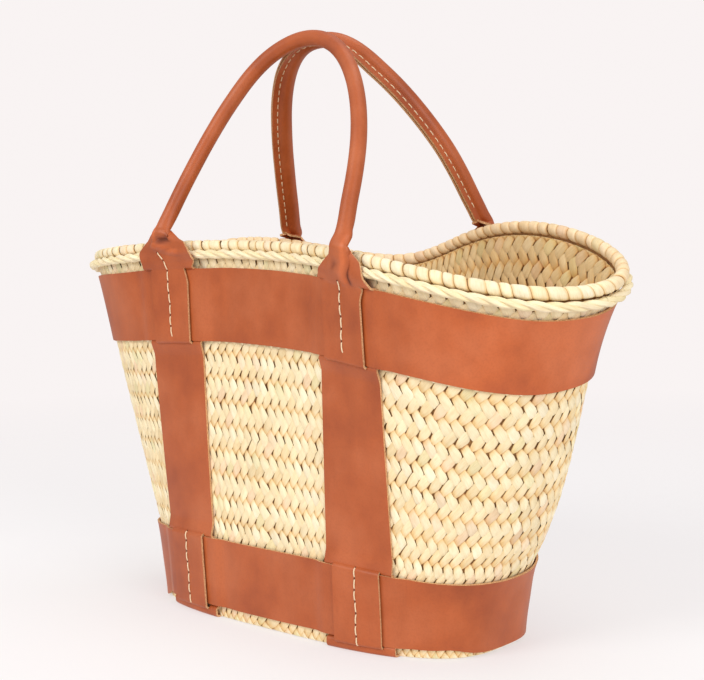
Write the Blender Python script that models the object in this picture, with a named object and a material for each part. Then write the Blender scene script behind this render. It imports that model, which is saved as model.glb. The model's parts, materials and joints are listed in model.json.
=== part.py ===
"""Plaited palm-leaf market basket with leather bands, straps and two rolled handles.

The basket is a flared oval body of sewn plait, finished at the mouth by two leaf rolls.
Two long leather straps run down the front, under the base and up the back.  Each strap
is slit where a leather band crosses it: the band threads under the strap's middle
tongue and over the strap's narrow margins.  Above the rim each strap goes on as a
handle, a leather strip rolled round a rope core with its two edges sewn into a flange.

Metres, +Z up, the long way of the basket along X, its front at -Y, origin on the ground
below the middle of the whole basket.
"""

import math
from dataclasses import dataclass

import bmesh
import bpy
import numpy as np
from mathutils import Vector

# Woven body
BASE_LENGTH = 0.343
BASE_WIDTH = 0.156
RIM_LENGTH = 0.540
RIM_WIDTH = 0.209
RIM_HEIGHT = 0.317
WALL_THICKNESS = 0.006
FLOOR_THICKNESS = 0.006
BASE_CORNER = 0.008
SETTLE_HEIGHT = 0.020
FLARE_POWER = 1.21
BASE_SQUARENESS = 3.0
RIM_SQUARENESS = 2.0
SWAY_POWER = 1.83
DROOP_POWER = 0.9

# How the soft mouth hangs, every 30 degrees from the +X end towards the back.
# Shares of half the rim length, of half the rim width and of the rim height.
MOUTH_X_SHARES = (0.029, 0.031, -0.090, 0.034, 0.068, 0.055, 0.030, 0.006, -0.015, 0.018, 0.023, 0.012)
MOUTH_Y_SHARES = (-0.178, -0.088, -0.138, -0.219, -0.371, -0.291, -0.184, -0.096, 0.024, 0.227, -0.103, -0.204)
MOUTH_Z_SHARES = (-0.101, -0.015, 0.030, -0.049, 0.001, -0.051, -0.065, -0.033, -0.009, -0.002, -0.043, -0.101)

# How far each end swells out or is drawn in, at even steps from the base to the rim
RIGHT_SWELL_SHARES = (0.0, -0.0037, -0.0074, 0.0040, 0.0090, 0.0074, 0.0019, -0.0050, -0.0115, -0.0111, -0.0028)
LEFT_SWELL_SHARES = (0.0, -0.0042, -0.0084, -0.0028, 0.0, 0.0019, 0.0035, 0.0035, 0.0009, -0.0012, 0.0)

# Rolls of wrapped leaf along the mouth
RIM_ROLL_RADIUS = 0.005
UNDER_ROLL_RADIUS = 0.004
UNDER_ROLL_DROP = 0.0065

# Leather
LEATHER = 0.0024
CLEARANCE = 0.0005

# Bands round the body
BAND_HEIGHT = 0.060
UPPER_BAND_DROP = 0.0231
LOWER_BAND_FOOT = 0.0086
BAND_RISE_WIDTH = 0.012

# Straps
STRAP_WIDTH = 0.060
STRAP_SPACING_BASE = 0.184
STRAP_SPACING_RIM = 0.201
STRAP_MARGIN = 0.009
SLIT_WIDTH = 0.0006
SLIT_OVERRUN = 0.006
BEND_RISE = 0.0018
HINGE_RISE = 0.001

# Handles
FRONT_RISE = 0.1653
FRONT_DRIFT = 0.0050
BACK_RISE = 0.1581
BACK_DRIFT = -0.0004
TUBE_RADIUS = 0.0070
FLANGE_LENGTH = 0.0100
GATHER_LENGTH = 0.030
UPRIGHT_LENGTH = 0.010
CORE_CLEARANCE = 0.0007
SEAM_TURN_DEGREES = 75.0
ROLL_SPAN_DEGREES = 176.0

# Mesh fineness
RING_SEGMENTS = 72
ROUND_SEGMENTS = 2
ROLL_SEGMENTS = 4
ARCH_ROWS = 22


@dataclass(frozen=True)
class HandleShape:
    """One handle's arch, measured from its hinge line at the rim.

    side is -1 for the front handle and 1 for the back one.  rise is its height and drift
    how far its top lies towards +X.  reach_share is how far its top leans over the
    mouth, as a share of the mouth's width, because the two handles rest on each other.
    """

    name: str
    side: int
    rise: float
    reach_share: float
    drift: float
    lean_power: float
    height_power: float
    width_power: float

    def reach(self):
        """Return how far the handle's top leans over the mouth."""
        return self.reach_share * RIM_WIDTH


FRONT_HANDLE = HandleShape("front_handle", -1, FRONT_RISE, 0.3574, FRONT_DRIFT, 0.97, 2.07, 2.00)
BACK_HANDLE = HandleShape("back_handle", 1, BACK_RISE, 0.4100, BACK_DRIFT, 0.97, 1.08, 2.30)


def clear_scene():
    """Remove whatever the scene holds before modelling."""
    for item in list(bpy.data.objects):
        bpy.data.objects.remove(item, do_unlink=True)


def make_material(name, colour, roughness, metallic=0.0):
    """Return a Principled material."""
    material = bpy.data.materials.new(name)
    material.use_nodes = True
    shader = material.node_tree.nodes["Principled BSDF"]
    shader.inputs["Base Color"].default_value = (*colour, 1.0)
    shader.inputs["Roughness"].default_value = roughness
    shader.inputs["Metallic"].default_value = metallic
    material.diffuse_color = (*colour, 1.0)
    return material


def smooth(share):
    """Ease from 0 to 1 as share goes from 0 to 1."""
    share = min(max(share, 0.0), 1.0)
    return share * share * (3.0 - 2.0 * share)


def mix(start, end, share):
    """Return the value or point that lies share of the way from start to end."""
    return start + (end - start) * share


def around(values, angle):
    """Read a smooth closed curve through values spread evenly round the basket."""
    count = len(values)
    total = 0.0
    for index, value in enumerate(values):
        half = 0.5 * (angle - 2.0 * math.pi * index / count)
        if abs(math.sin(half)) < 1e-9:
            total += value
        else:
            total += value * math.sin(count * half) / (count * math.tan(half))
    return total


def signed_power(value, power):
    """Raise the size of value to power and keep its sign."""
    return math.copysign(abs(value) ** power, value)


def step_curve(values, share):
    """Return a smooth curve through values at even steps of a share from 0 to 1."""
    last = len(values) - 1
    index = min(max(int(share * last), 0), last - 1)
    rest = share * last - index
    low = values[index]
    high = values[index + 1]
    before = values[index - 1] if index > 0 else 2.0 * low - high
    after = values[index + 2] if index + 2 <= last else 2.0 * high - low
    bend = 2.0 * before - 5.0 * low + 4.0 * high - after
    twist = -before + 3.0 * low - 3.0 * high + after
    return 0.5 * (2.0 * low + rest * (high - before + rest * (bend + rest * twist)))


def end_swell(angle, share):
    """Return how far the wall moves along X where an end swells or is drawn in."""
    facing = math.cos(angle)
    values = RIGHT_SWELL_SHARES if facing > 0.0 else LEFT_SWELL_SHARES
    return facing * abs(facing) * RIM_LENGTH * step_curve(values, share)


def ring_point(angle, level):
    """Return the point of the body's outer face at an angle and a height along the wall."""
    share = max(level / RIM_HEIGHT, 0.0)
    flare = share**FLARE_POWER
    half_length = 0.5 * mix(BASE_LENGTH, RIM_LENGTH, flare)
    half_width = 0.5 * mix(BASE_WIDTH, RIM_WIDTH, flare)
    rounding = 2.0 / mix(BASE_SQUARENESS, RIM_SQUARENESS, share)
    sway = share**SWAY_POWER
    droop = share**DROOP_POWER * smooth(level / SETTLE_HEIGHT)
    x = half_length * signed_power(math.cos(angle), rounding)
    y = half_width * signed_power(math.sin(angle), rounding)
    x += sway * 0.5 * RIM_LENGTH * around(MOUTH_X_SHARES, angle) + end_swell(angle, share)
    y += sway * 0.5 * RIM_WIDTH * around(MOUTH_Y_SHARES, angle)
    z = level + droop * RIM_HEIGHT * around(MOUTH_Z_SHARES, angle)
    return Vector((x, y, z))


def wall_normal(angle, level):
    """Return the direction straight out of the wall."""
    turn = math.radians(0.5)
    climb = 0.01 * RIM_HEIGHT
    along = ring_point(angle + turn, level) - ring_point(angle - turn, level)
    up = ring_point(angle, level + climb) - ring_point(angle, max(level - climb, 0.0))
    return along.cross(up).normalized()


def wall_point(angle, level, outward=0.0):
    """Return a point on the wall's outer face, moved outward by a distance."""
    point = ring_point(angle, level)
    if outward:
        point = point + wall_normal(angle, level) * outward
    return point


def even_angles(count, level):
    """Return angles that part the ring at one level into equal lengths."""
    steps = 12 * count
    dense = [2.0 * math.pi * index / steps for index in range(steps + 1)]
    points = [ring_point(angle, level) for angle in dense]
    lengths = [0.0]
    for start, end in zip(points, points[1:]):
        lengths.append(lengths[-1] + (end - start).length)
    targets = [lengths[-1] * index / count for index in range(count)]
    return [float(value) for value in np.interp(targets, lengths, dense)]


def upper_band_foot():
    """Return the level of the upper band's lower edge, which hangs below the rim."""
    return RIM_HEIGHT - UPPER_BAND_DROP - BAND_HEIGHT


def strap_x(level):
    """Return how far each strap's centre line lies from the middle at a height."""
    return 0.5 * mix(STRAP_SPACING_BASE, STRAP_SPACING_RIM, max(level / RIM_HEIGHT, 0.0))


def angle_at(x, level, side):
    """Return the angle where the front (-1) or back (1) wall reaches x."""
    low = 0.02
    high = math.pi - 0.02
    for _ in range(30):
        middle = 0.5 * (low + high)
        if ring_point(side * middle, level).x > x:
            low = middle
        else:
            high = middle
    return side * 0.5 * (low + high)


def new_object(name, mesh, material):
    """Link a finished mesh to the scene as one named piece."""
    mesh.materials.append(material)
    mesh.shade_smooth()
    mesh.set_sharp_from_angle(angle=math.radians(40.0))
    piece = bpy.data.objects.new(name, mesh)
    bpy.context.scene.collection.objects.link(piece)
    return piece


def sheet(name, rows, material, closed=False, cut=None):
    """Build a leather sheet from its inner face and give it its thickness outward.

    rows are lists of points across the sheet.  The outer side is the one from which the
    way across turns anticlockwise from the way along.  closed joins the last row to the
    first one.  cut is a set of (row, column) cells that are left open.
    """
    mesh = bpy.data.meshes.new(name)
    shape = bmesh.new()
    grid = [[shape.verts.new(point) for point in row] for row in rows]
    count = len(grid)
    for index in range(count if closed else count - 1):
        here = grid[index]
        ahead = grid[(index + 1) % count]
        for column in range(len(here) - 1):
            if cut and (index, column) in cut:
                continue
            shape.faces.new((here[column], ahead[column], ahead[column + 1], here[column + 1]))
    shape.to_mesh(mesh)
    shape.free()
    piece = new_object(name, mesh, material)
    solid = piece.modifiers.new("thickness", "SOLIDIFY")
    solid.thickness = LEATHER
    solid.offset = 1.0
    solid.use_even_offset = True
    return piece


def build_body(angles, material):
    """Build the woven body: one open vessel with a flat floor and a rounded lower edge."""
    underside = LEATHER + CLEARANCE
    floor_top = underside + FLOOR_THICKNESS
    corner_steps = 4
    levels = []
    for step in range(corner_steps + 1):
        turn = 0.5 * math.pi * step / corner_steps
        inset = BASE_CORNER * (1.0 - math.sin(turn))
        levels.append((underside + BASE_CORNER * (1.0 - math.cos(turn)), -inset))
    wall_top = RIM_HEIGHT - 2.0 * RIM_ROLL_RADIUS - 2.0 * CLEARANCE
    lower_middle = LOWER_BAND_FOOT + 0.5 * BAND_HEIGHT
    lower_top = LOWER_BAND_FOOT + BAND_HEIGHT
    upper_foot = upper_band_foot()
    heights = [lower_middle, lower_top]
    heights += [mix(lower_top, upper_foot, share) for share in (0.25, 0.5, 0.75, 1.0)]
    heights += [upper_foot + 0.5 * BAND_HEIGHT, upper_foot + BAND_HEIGHT, wall_top]
    levels += [(height, 0.0) for height in heights]
    inside = [(height, -WALL_THICKNESS) for height in reversed(heights)]
    inside.append((floor_top + BASE_CORNER, -WALL_THICKNESS))
    inside.append((floor_top, -WALL_THICKNESS - BASE_CORNER))

    shape = bmesh.new()
    loops = []
    for level, outward in levels + inside:
        loops.append([shape.verts.new(wall_point(angle, level, outward)) for angle in angles])
    for vertex in loops[0]:
        vertex.co.z = underside
    for vertex in loops[-1]:
        vertex.co.z = floor_top
    for lower, upper in zip(loops, loops[1:]):
        for index in range(len(angles)):
            ahead = (index + 1) % len(angles)
            shape.faces.new((lower[index], lower[ahead], upper[ahead], upper[index]))
    for loop, height, flip in ((loops[0], underside, True), (loops[-1], floor_top, False)):
        centre = shape.verts.new((0.0, 0.0, height))
        for index in range(len(angles)):
            ahead = (index + 1) % len(angles)
            ends = (loop[ahead], loop[index]) if flip else (loop[index], loop[ahead])
            shape.faces.new((centre, *ends))
    mesh = bpy.data.meshes.new("woven_body")
    shape.to_mesh(mesh)
    shape.free()
    return new_object("woven_body", mesh, material)


def build_roll(name, points, radius, material, cyclic=True):
    """Build a round roll or rope that follows points."""
    curve = bpy.data.curves.new(name, "CURVE")
    curve.dimensions = "3D"
    curve.bevel_depth = radius
    curve.bevel_resolution = ROUND_SEGMENTS
    curve.use_fill_caps = not cyclic
    spline = curve.splines.new("POLY")
    spline.points.add(len(points) - 1)
    for target, point in zip(spline.points, points):
        target.co = (*point, 1.0)
    spline.use_cyclic_u = cyclic
    curve.materials.append(material)
    piece = bpy.data.objects.new(name, curve)
    bpy.context.scene.collection.objects.link(piece)
    return piece


def build_rim(angles, material):
    """Build the roll that caps the wall and the smaller roll sewn under it outside."""
    level = RIM_HEIGHT - RIM_ROLL_RADIUS
    top = [wall_point(angle, level, -0.5 * WALL_THICKNESS) for angle in angles]
    build_roll("rim_roll", top, RIM_ROLL_RADIUS, material)
    outward = CLEARANCE + UNDER_ROLL_RADIUS
    under = [wall_point(angle, level - UNDER_ROLL_DROP, outward) for angle in angles]
    build_roll("under_roll", under, UNDER_ROLL_RADIUS, material)


def band_offset(x, level):
    """Return how far a band's inner face lies off the wall: more where it rides a strap."""
    gap = abs(abs(x) - strap_x(level)) - 0.5 * STRAP_WIDTH - 2.0 * CLEARANCE
    riding = 1.0 - smooth(gap / BAND_RISE_WIDTH)
    return 2.0 * CLEARANCE + LEATHER * riding


def band_columns(foot, angles):
    """Return the angles of each column round a band, at its foot, middle and top.

    Where the band rides a strap its columns follow the strap's edges.  Elsewhere they
    stay at the given angles.
    """
    levels = [foot + BAND_HEIGHT * share for share in (0.0, 0.5, 1.0)]
    reach = 0.5 * STRAP_WIDTH + 2.0 * CLEARANCE
    steps = (0.25 * reach, 0.65 * reach, reach, reach + 0.5 * BAND_RISE_WIDTH, reach + BAND_RISE_WIDTH)
    columns = []
    for side in (-1, 1):
        for hand in (-1, 1):
            for step in [-step for step in steps] + list(steps):
                spots = [angle_at(hand * strap_x(level) + step, level, side) for level in levels]
                columns.append([spot % (2.0 * math.pi) for spot in spots])
    for angle in angles:
        away = abs(abs(ring_point(angle, levels[1]).x) - strap_x(levels[1]))
        if away > reach + 1.6 * BAND_RISE_WIDTH:
            columns.append([angle] * len(levels))
    return sorted(columns, key=lambda column: column[1])


def build_band(name, foot, angles, material):
    """Build one band round the body, lifted over the strap margins."""
    rows = []
    for column in band_columns(foot, angles):
        row = []
        for angle, share in zip(column, (0.0, 0.5, 1.0)):
            level = foot + BAND_HEIGHT * share
            x = ring_point(angle, level).x
            row.append(wall_point(angle, level, band_offset(x, level)))
        rows.append(row)
    return sheet(name, rows, material, closed=True)


@dataclass(frozen=True)
class StrapRow:
    """One row across a strap: its height and how far margins and tongue lie off the wall."""

    level: float
    margin: float
    tongue: float
    slit: bool = False


def strap_rows():
    """List the rows of one strap from its top down to the base's edge."""
    low = CLEARANCE
    over = 3.0 * CLEARANCE + 2.0 * LEATHER
    past_roll = 2.0 * CLEARANCE + 2.0 * UNDER_ROLL_RADIUS
    roll_level = RIM_HEIGHT - RIM_ROLL_RADIUS
    under_level = roll_level - UNDER_ROLL_DROP
    upper_foot = upper_band_foot()
    upper_top = upper_foot + BAND_HEIGHT
    lower_top = LOWER_BAND_FOOT + BAND_HEIGHT
    slit_end = mix(low, past_roll, 0.75)
    upper_slit_foot = upper_foot - SLIT_OVERRUN
    lower_slit_top = lower_top + SLIT_OVERRUN
    rows = [
        StrapRow(roll_level, past_roll, past_roll),
        StrapRow(under_level - 0.5 * UNDER_ROLL_RADIUS, past_roll, past_roll),
        StrapRow(upper_top + SLIT_OVERRUN, slit_end, slit_end, True),
        StrapRow(upper_top + BEND_RISE, low, over, True),
        StrapRow(upper_foot + 0.5 * BAND_HEIGHT, low, over, True),
        StrapRow(upper_foot - CLEARANCE, low, over, True),
        StrapRow(upper_slit_foot, low, low),
    ]
    for share in (0.25, 0.5, 0.75):
        rows.append(StrapRow(mix(upper_slit_foot, lower_slit_top, share), low, low))
    rows += [
        StrapRow(lower_slit_top, low, low, True),
        StrapRow(lower_top + CLEARANCE, low, over, True),
        StrapRow(LOWER_BAND_FOOT + 0.5 * BAND_HEIGHT, low, over, True),
        StrapRow(LOWER_BAND_FOOT - CLEARANCE, low, over, True),
        StrapRow(LEATHER + 2.0 * CLEARANCE, low, low),
    ]
    return rows


def strap_columns():
    """Return the places across a strap, the cells between which 1 and 5 are the slits."""
    edge = 0.5 * STRAP_WIDTH
    slit_out = edge - STRAP_MARGIN
    slit_in = slit_out - SLIT_WIDTH
    third = slit_in / 3.0
    return [-edge, -slit_out, -slit_in, -third, third, slit_in, slit_out, edge]


def hinge_points(side):
    """Return the two points of a handle's fold line, at the left and right strap's top."""
    outward = 2.0 * CLEARANCE + 2.0 * UNDER_ROLL_RADIUS + LEATHER
    points = []
    for hand in (-1, 1):
        angle = angle_at(hand * strap_x(RIM_HEIGHT), RIM_HEIGHT, side)
        normal = wall_normal(angle, RIM_HEIGHT)
        normal.z = 0.0
        point = ring_point(angle, RIM_HEIGHT) + normal.normalized() * outward
        point.z += HINGE_RISE
        points.append(point)
    return points


def hinge_frame(side):
    """Return the fold line's direction and the level direction outward from it."""
    left, right = hinge_points(side)
    along = (right - left).normalized()
    outward = Vector((0.0, 0.0, 1.0)).cross(along).normalized() * side
    return along, outward


def strap_side_rows(hand, side):
    """Return the inner-face points of one strap on one side, from the fold line down."""
    columns = strap_columns()
    along, outward = hinge_frame(side)
    top = hinge_points(side)[0 if hand < 0 else 1]
    rows = []
    for drop in (0.0, HINGE_RISE):
        rows.append([top + along * across - outward * LEATHER for across in columns])
        for point in rows[-1]:
            point.z -= drop
    margin_columns = (0, 1, 6, 7)
    for row in strap_rows():
        points = []
        for index, across in enumerate(columns):
            x = hand * strap_x(row.level) + across
            angle = angle_at(x, row.level, side)
            offset = row.margin if index in margin_columns else row.tongue
            points.append(wall_point(angle, row.level, offset))
        rows.append(points)
    return rows


def build_strap(name, hand, material):
    """Build one strap from the front fold line, under the base, to the back fold line."""
    columns = strap_columns()
    front = strap_side_rows(hand, -1)
    back = strap_side_rows(hand, 1)
    under = []
    corner = BASE_CORNER
    front_edge = front[-1]
    back_edge = back[-1]
    shares = (0.0, 0.25, 0.5, 0.75, 1.0)
    for share in shares:
        row = []
        for index in range(len(columns)):
            start = front_edge[index].y + corner
            end = back_edge[index].y - corner
            x = mix(front_edge[index].x, back_edge[index].x, share)
            row.append(Vector((x, mix(start, end, share), LEATHER)))
        under.append(row)
    rows = front + under + list(reversed(back))
    slits = [index + 2 for index, row in enumerate(strap_rows()) if row.slit]
    last = len(rows) - 1
    cut = set()
    for index in slits:
        for column in (1, 5):
            cut.add((index, column))
            cut.add((last - index - 1, column))
    return sheet(name, rows, material, cut=cut)


def arch_path(shape):
    """Return dense points along a handle's centre line, from its left to its right foot."""
    left, right = hinge_points(shape.side)
    centre = (left + right) * 0.5
    half = (right - left) * 0.5
    points = []
    steps = 240
    for step in range(steps + 1):
        turn = math.pi * (1.0 - step / steps)
        spread = signed_power(math.cos(turn), 2.0 / shape.width_power)
        height = max(math.sin(turn), 0.0) ** (2.0 / shape.height_power)
        upright = smooth(shape.rise * height / UPRIGHT_LENGTH)
        point = centre + half * spread
        point.x += shape.drift * height
        point.y -= shape.side * shape.reach() * height**shape.lean_power * upright
        point.z += shape.rise * height
        points.append(point)
    return points


def resample(points, stations):
    """Return the points at given distances along a line of points."""
    lengths = [0.0]
    for start, end in zip(points, points[1:]):
        lengths.append(lengths[-1] + (end - start).length)
    axes = [[point[axis] for point in points] for axis in range(3)]
    found = [np.interp(stations, lengths, values) for values in axes]
    return [Vector((float(x), float(y), float(z))) for x, y, z in zip(*found)]


def path_length(points):
    """Return the length of a line of points."""
    return sum((end - start).length for start, end in zip(points, points[1:]))


@dataclass(frozen=True)
class Station:
    """One cross-section of a handle: its place, how far it is rolled and its directions."""

    place: Vector
    curl: float
    across: Vector
    seam: Vector


def handle_stations(shape):
    """Return the cross-sections along a handle, from its left to its right foot.

    At its feet a section lies along the fold line.  Where the handle is fully rolled it
    is square to the centre line.
    """
    path = arch_path(shape)
    total = path_length(path)
    gather = [GATHER_LENGTH * share for share in (0.0, 0.08, 0.2, 0.34, 0.48, 0.62, 0.8, 1.0)]
    gather[0] = CLEARANCE
    middle = [mix(GATHER_LENGTH, total - GATHER_LENGTH, step / ARCH_ROWS) for step in range(1, ARCH_ROWS)]
    stations = gather + middle + [total - length for length in reversed(gather)]
    places = resample(path, stations)
    fold, outward = hinge_frame(shape.side)
    left, right = hinge_points(shape.side)
    heart = (left + right) * 0.5
    heart.z += 0.5 * shape.rise
    heart.y -= shape.side * 0.5 * shape.reach()
    found = []
    for index, (place, length) in enumerate(zip(places, stations)):
        before = places[max(index - 1, 0)]
        after = places[min(index + 1, len(places) - 1)]
        near = min(length, total - length)
        curl = smooth((near - CLEARANCE) / (GATHER_LENGTH - CLEARANCE))
        upright = fold.cross(outward) * (shape.side if 2.0 * length < total else -shape.side)
        tangent = mix(upright, (after - before).normalized(), curl).normalized()
        inward = -outward
        inward = (inward - tangent * inward.dot(tangent)).normalized()
        inner = heart - place
        inner = (inner - tangent * inner.dot(tangent))
        inner = (inner - inward * inner.dot(inward)).normalized()
        turn = math.radians(SEAM_TURN_DEGREES) * smooth(2.0 * near / total)
        seam = inward * math.cos(turn) + inner * math.sin(turn)
        found.append(Station(place, curl, tangent.cross(seam).normalized(), seam))
    return found


def section_points(station):
    """Return the inner face across a handle at one station, from edge to edge.

    Flat, it is as wide as the strap.  Fully rolled, it is a tube whose two edges lie
    side by side as the flange.  Between the two, every turn is eased alike.
    """
    inner = TUBE_RADIUS - LEATHER
    step = math.radians(ROLL_SPAN_DEGREES) / ROLL_SEGMENTS
    chord = 2.0 * inner * math.sin(0.5 * step)
    flat = 0.5 * STRAP_WIDTH / (ROLL_SEGMENTS + 1)
    rolled = [chord] * ROLL_SEGMENTS + [FLANGE_LENGTH + LEATHER]
    turns = [step * (index + 0.5) for index in range(ROLL_SEGMENTS)] + [0.5 * math.pi]
    start = station.place - station.seam * mix(-LEATHER, inner, station.curl)
    halves = []
    for sign in (-1.0, 1.0):
        point = start.copy()
        half = []
        for length, turn in zip(rolled, turns):
            heading = turn * station.curl
            direction = station.across * (sign * math.cos(heading)) + station.seam * math.sin(heading)
            point = point + direction * mix(flat, length, station.curl)
            half.append(point)
        halves.append(half)
    return list(reversed(halves[0])) + [start] + halves[1]


def build_handle(shape, leather, rope):
    """Build one handle: its rolled cover and the rope core inside, on the fold line."""
    stations = handle_stations(shape)
    rows = [section_points(station) for station in stations]
    cover = sheet(shape.name, rows, leather)
    rolled = [station.place for station in stations if station.curl > 0.999]
    inner = (TUBE_RADIUS - LEATHER) * math.cos(math.radians(0.5 * ROLL_SPAN_DEGREES / ROLL_SEGMENTS))
    core = build_roll(shape.name + "_core", rolled, inner - CORE_CLEARANCE, rope, cyclic=False)
    left, right = hinge_points(shape.side)
    hinge = bpy.data.objects.new(shape.name + "_hinge", None)
    hinge.location = (left + right) * 0.5
    bpy.context.scene.collection.objects.link(hinge)
    bpy.context.view_layer.update()
    for piece in (cover, core):
        piece.parent = hinge
        piece.matrix_parent_inverse = hinge.matrix_world.inverted()
    fold = hinge_frame(shape.side)[0]
    print(shape.name, "fold line along", tuple(round(value, 5) for value in fold))


def centre_pieces():
    """Move every piece alike, so that the origin is below the middle of the whole basket."""
    bpy.context.view_layer.update()
    graph = bpy.context.evaluated_depsgraph_get()
    places = []
    for item in bpy.data.objects:
        if item.type != "EMPTY":
            shown = item.evaluated_get(graph)
            mesh = shown.to_mesh()
            places += [shown.matrix_world @ vertex.co for vertex in mesh.vertices]
            shown.to_mesh_clear()
    shift = Vector((0.0, 0.0, 0.0))
    for axis in (0, 1):
        spread = [place[axis] for place in places]
        shift[axis] = -0.5 * (min(spread) + max(spread))
    for item in bpy.data.objects:
        if item.parent is None:
            item.location += shift
    bpy.context.view_layer.update()
    print("moved by", tuple(round(value, 5) for value in shift))
    for item in bpy.data.objects:
        if item.type == "EMPTY":
            print(item.name, "at", tuple(round(value, 5) for value in item.matrix_world.translation))


def main():
    """Model every piece of the basket."""
    clear_scene()
    straw = make_material("palm_leaf", (0.82, 0.68, 0.42), 0.75)
    rim_straw = make_material("rim_palm_leaf", (0.88, 0.76, 0.50), 0.70)
    leather = make_material("tan_leather", (0.50, 0.17, 0.06), 0.45)
    rope = make_material("cotton_rope", (0.80, 0.74, 0.62), 0.90)
    angles = even_angles(RING_SEGMENTS, 0.6 * RIM_HEIGHT)
    build_body(angles, straw)
    build_rim(angles, rim_straw)
    build_band("upper_band", upper_band_foot(), angles, leather)
    build_band("lower_band", LOWER_BAND_FOOT, angles, leather)
    build_strap("left_strap", -1, leather)
    build_strap("right_strap", 1, leather)
    build_handle(FRONT_HANDLE, leather, rope)
    build_handle(BACK_HANDLE, leather, rope)
    centre_pieces()


if __name__ == "__main__":
    main()
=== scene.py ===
"""Looks of a plaited palm-leaf market basket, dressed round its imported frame.

The basket is a flared oval body of sewn twill plait with a wrapped rim, two leather
bands, and leather straps that go on above the rim as rolled handles.  Metres, +Z up,
the long way along X, the front at -Y.
"""

import json
import logging
import math
from dataclasses import dataclass, field, replace
from enum import Enum

import bpy
import numpy as np
from mathutils import Matrix, Vector

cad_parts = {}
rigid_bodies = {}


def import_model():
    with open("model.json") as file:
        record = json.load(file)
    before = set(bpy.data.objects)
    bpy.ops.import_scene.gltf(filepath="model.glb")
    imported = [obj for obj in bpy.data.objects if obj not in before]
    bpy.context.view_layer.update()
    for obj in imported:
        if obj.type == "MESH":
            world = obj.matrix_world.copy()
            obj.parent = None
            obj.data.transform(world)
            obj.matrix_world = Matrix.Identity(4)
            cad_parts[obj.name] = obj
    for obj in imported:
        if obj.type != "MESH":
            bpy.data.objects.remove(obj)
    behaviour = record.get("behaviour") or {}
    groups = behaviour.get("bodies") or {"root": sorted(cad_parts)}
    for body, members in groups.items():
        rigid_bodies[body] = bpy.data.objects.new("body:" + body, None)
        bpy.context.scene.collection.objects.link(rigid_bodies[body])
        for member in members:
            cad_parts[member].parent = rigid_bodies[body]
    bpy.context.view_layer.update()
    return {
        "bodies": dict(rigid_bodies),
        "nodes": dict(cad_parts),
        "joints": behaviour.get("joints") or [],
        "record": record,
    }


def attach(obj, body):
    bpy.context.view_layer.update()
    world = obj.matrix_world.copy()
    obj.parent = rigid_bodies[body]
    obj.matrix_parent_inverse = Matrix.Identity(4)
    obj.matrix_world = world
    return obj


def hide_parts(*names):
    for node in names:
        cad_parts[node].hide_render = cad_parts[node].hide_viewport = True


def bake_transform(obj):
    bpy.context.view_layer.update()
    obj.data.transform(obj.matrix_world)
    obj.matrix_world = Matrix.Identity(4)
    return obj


LOG = logging.getLogger("market_basket")
TAU = 2.0 * math.pi
MM = 0.001


def tone(red: float, green: float, blue: float) -> tuple[float, float, float, float]:
    """Turn a colour given as it looks on screen, 0 to 255, into the light that makes it.

    Args:
        red: red on screen.
        green: green on screen.
        blue: blue on screen.

    Returns:
        The linear colour with full alpha.
    """
    parts = []
    for value in (red, green, blue):
        share = value / 255.0
        parts.append(share / 12.92 if share <= 0.04045 else ((share + 0.055) / 1.055) ** 2.4)
    return (parts[0], parts[1], parts[2], 1.0)


def ease(share: np.ndarray) -> np.ndarray:
    """Ease from 0 to 1 as share goes from 0 to 1."""
    share = np.clip(share, 0.0, 1.0)
    return share * share * (3.0 - 2.0 * share)


def signed_power(value: np.ndarray, power: np.ndarray) -> np.ndarray:
    """Raise the size of value to power and keep its sign."""
    return np.sign(value) * np.abs(value) ** power


def unit(vectors: np.ndarray) -> np.ndarray:
    """Return vectors of length one along the last axis."""
    length = np.linalg.norm(vectors, axis=-1, keepdims=True)
    return vectors / np.maximum(length, 1e-12)


class Side(Enum):
    """The long side of the basket that a strap end or a handle belongs to."""

    FRONT = -1
    BACK = 1


class Lean(Enum):
    """Which way a visible leaf of the twill leans as it goes up."""

    FALLING = 0
    RISING = 1


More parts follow.
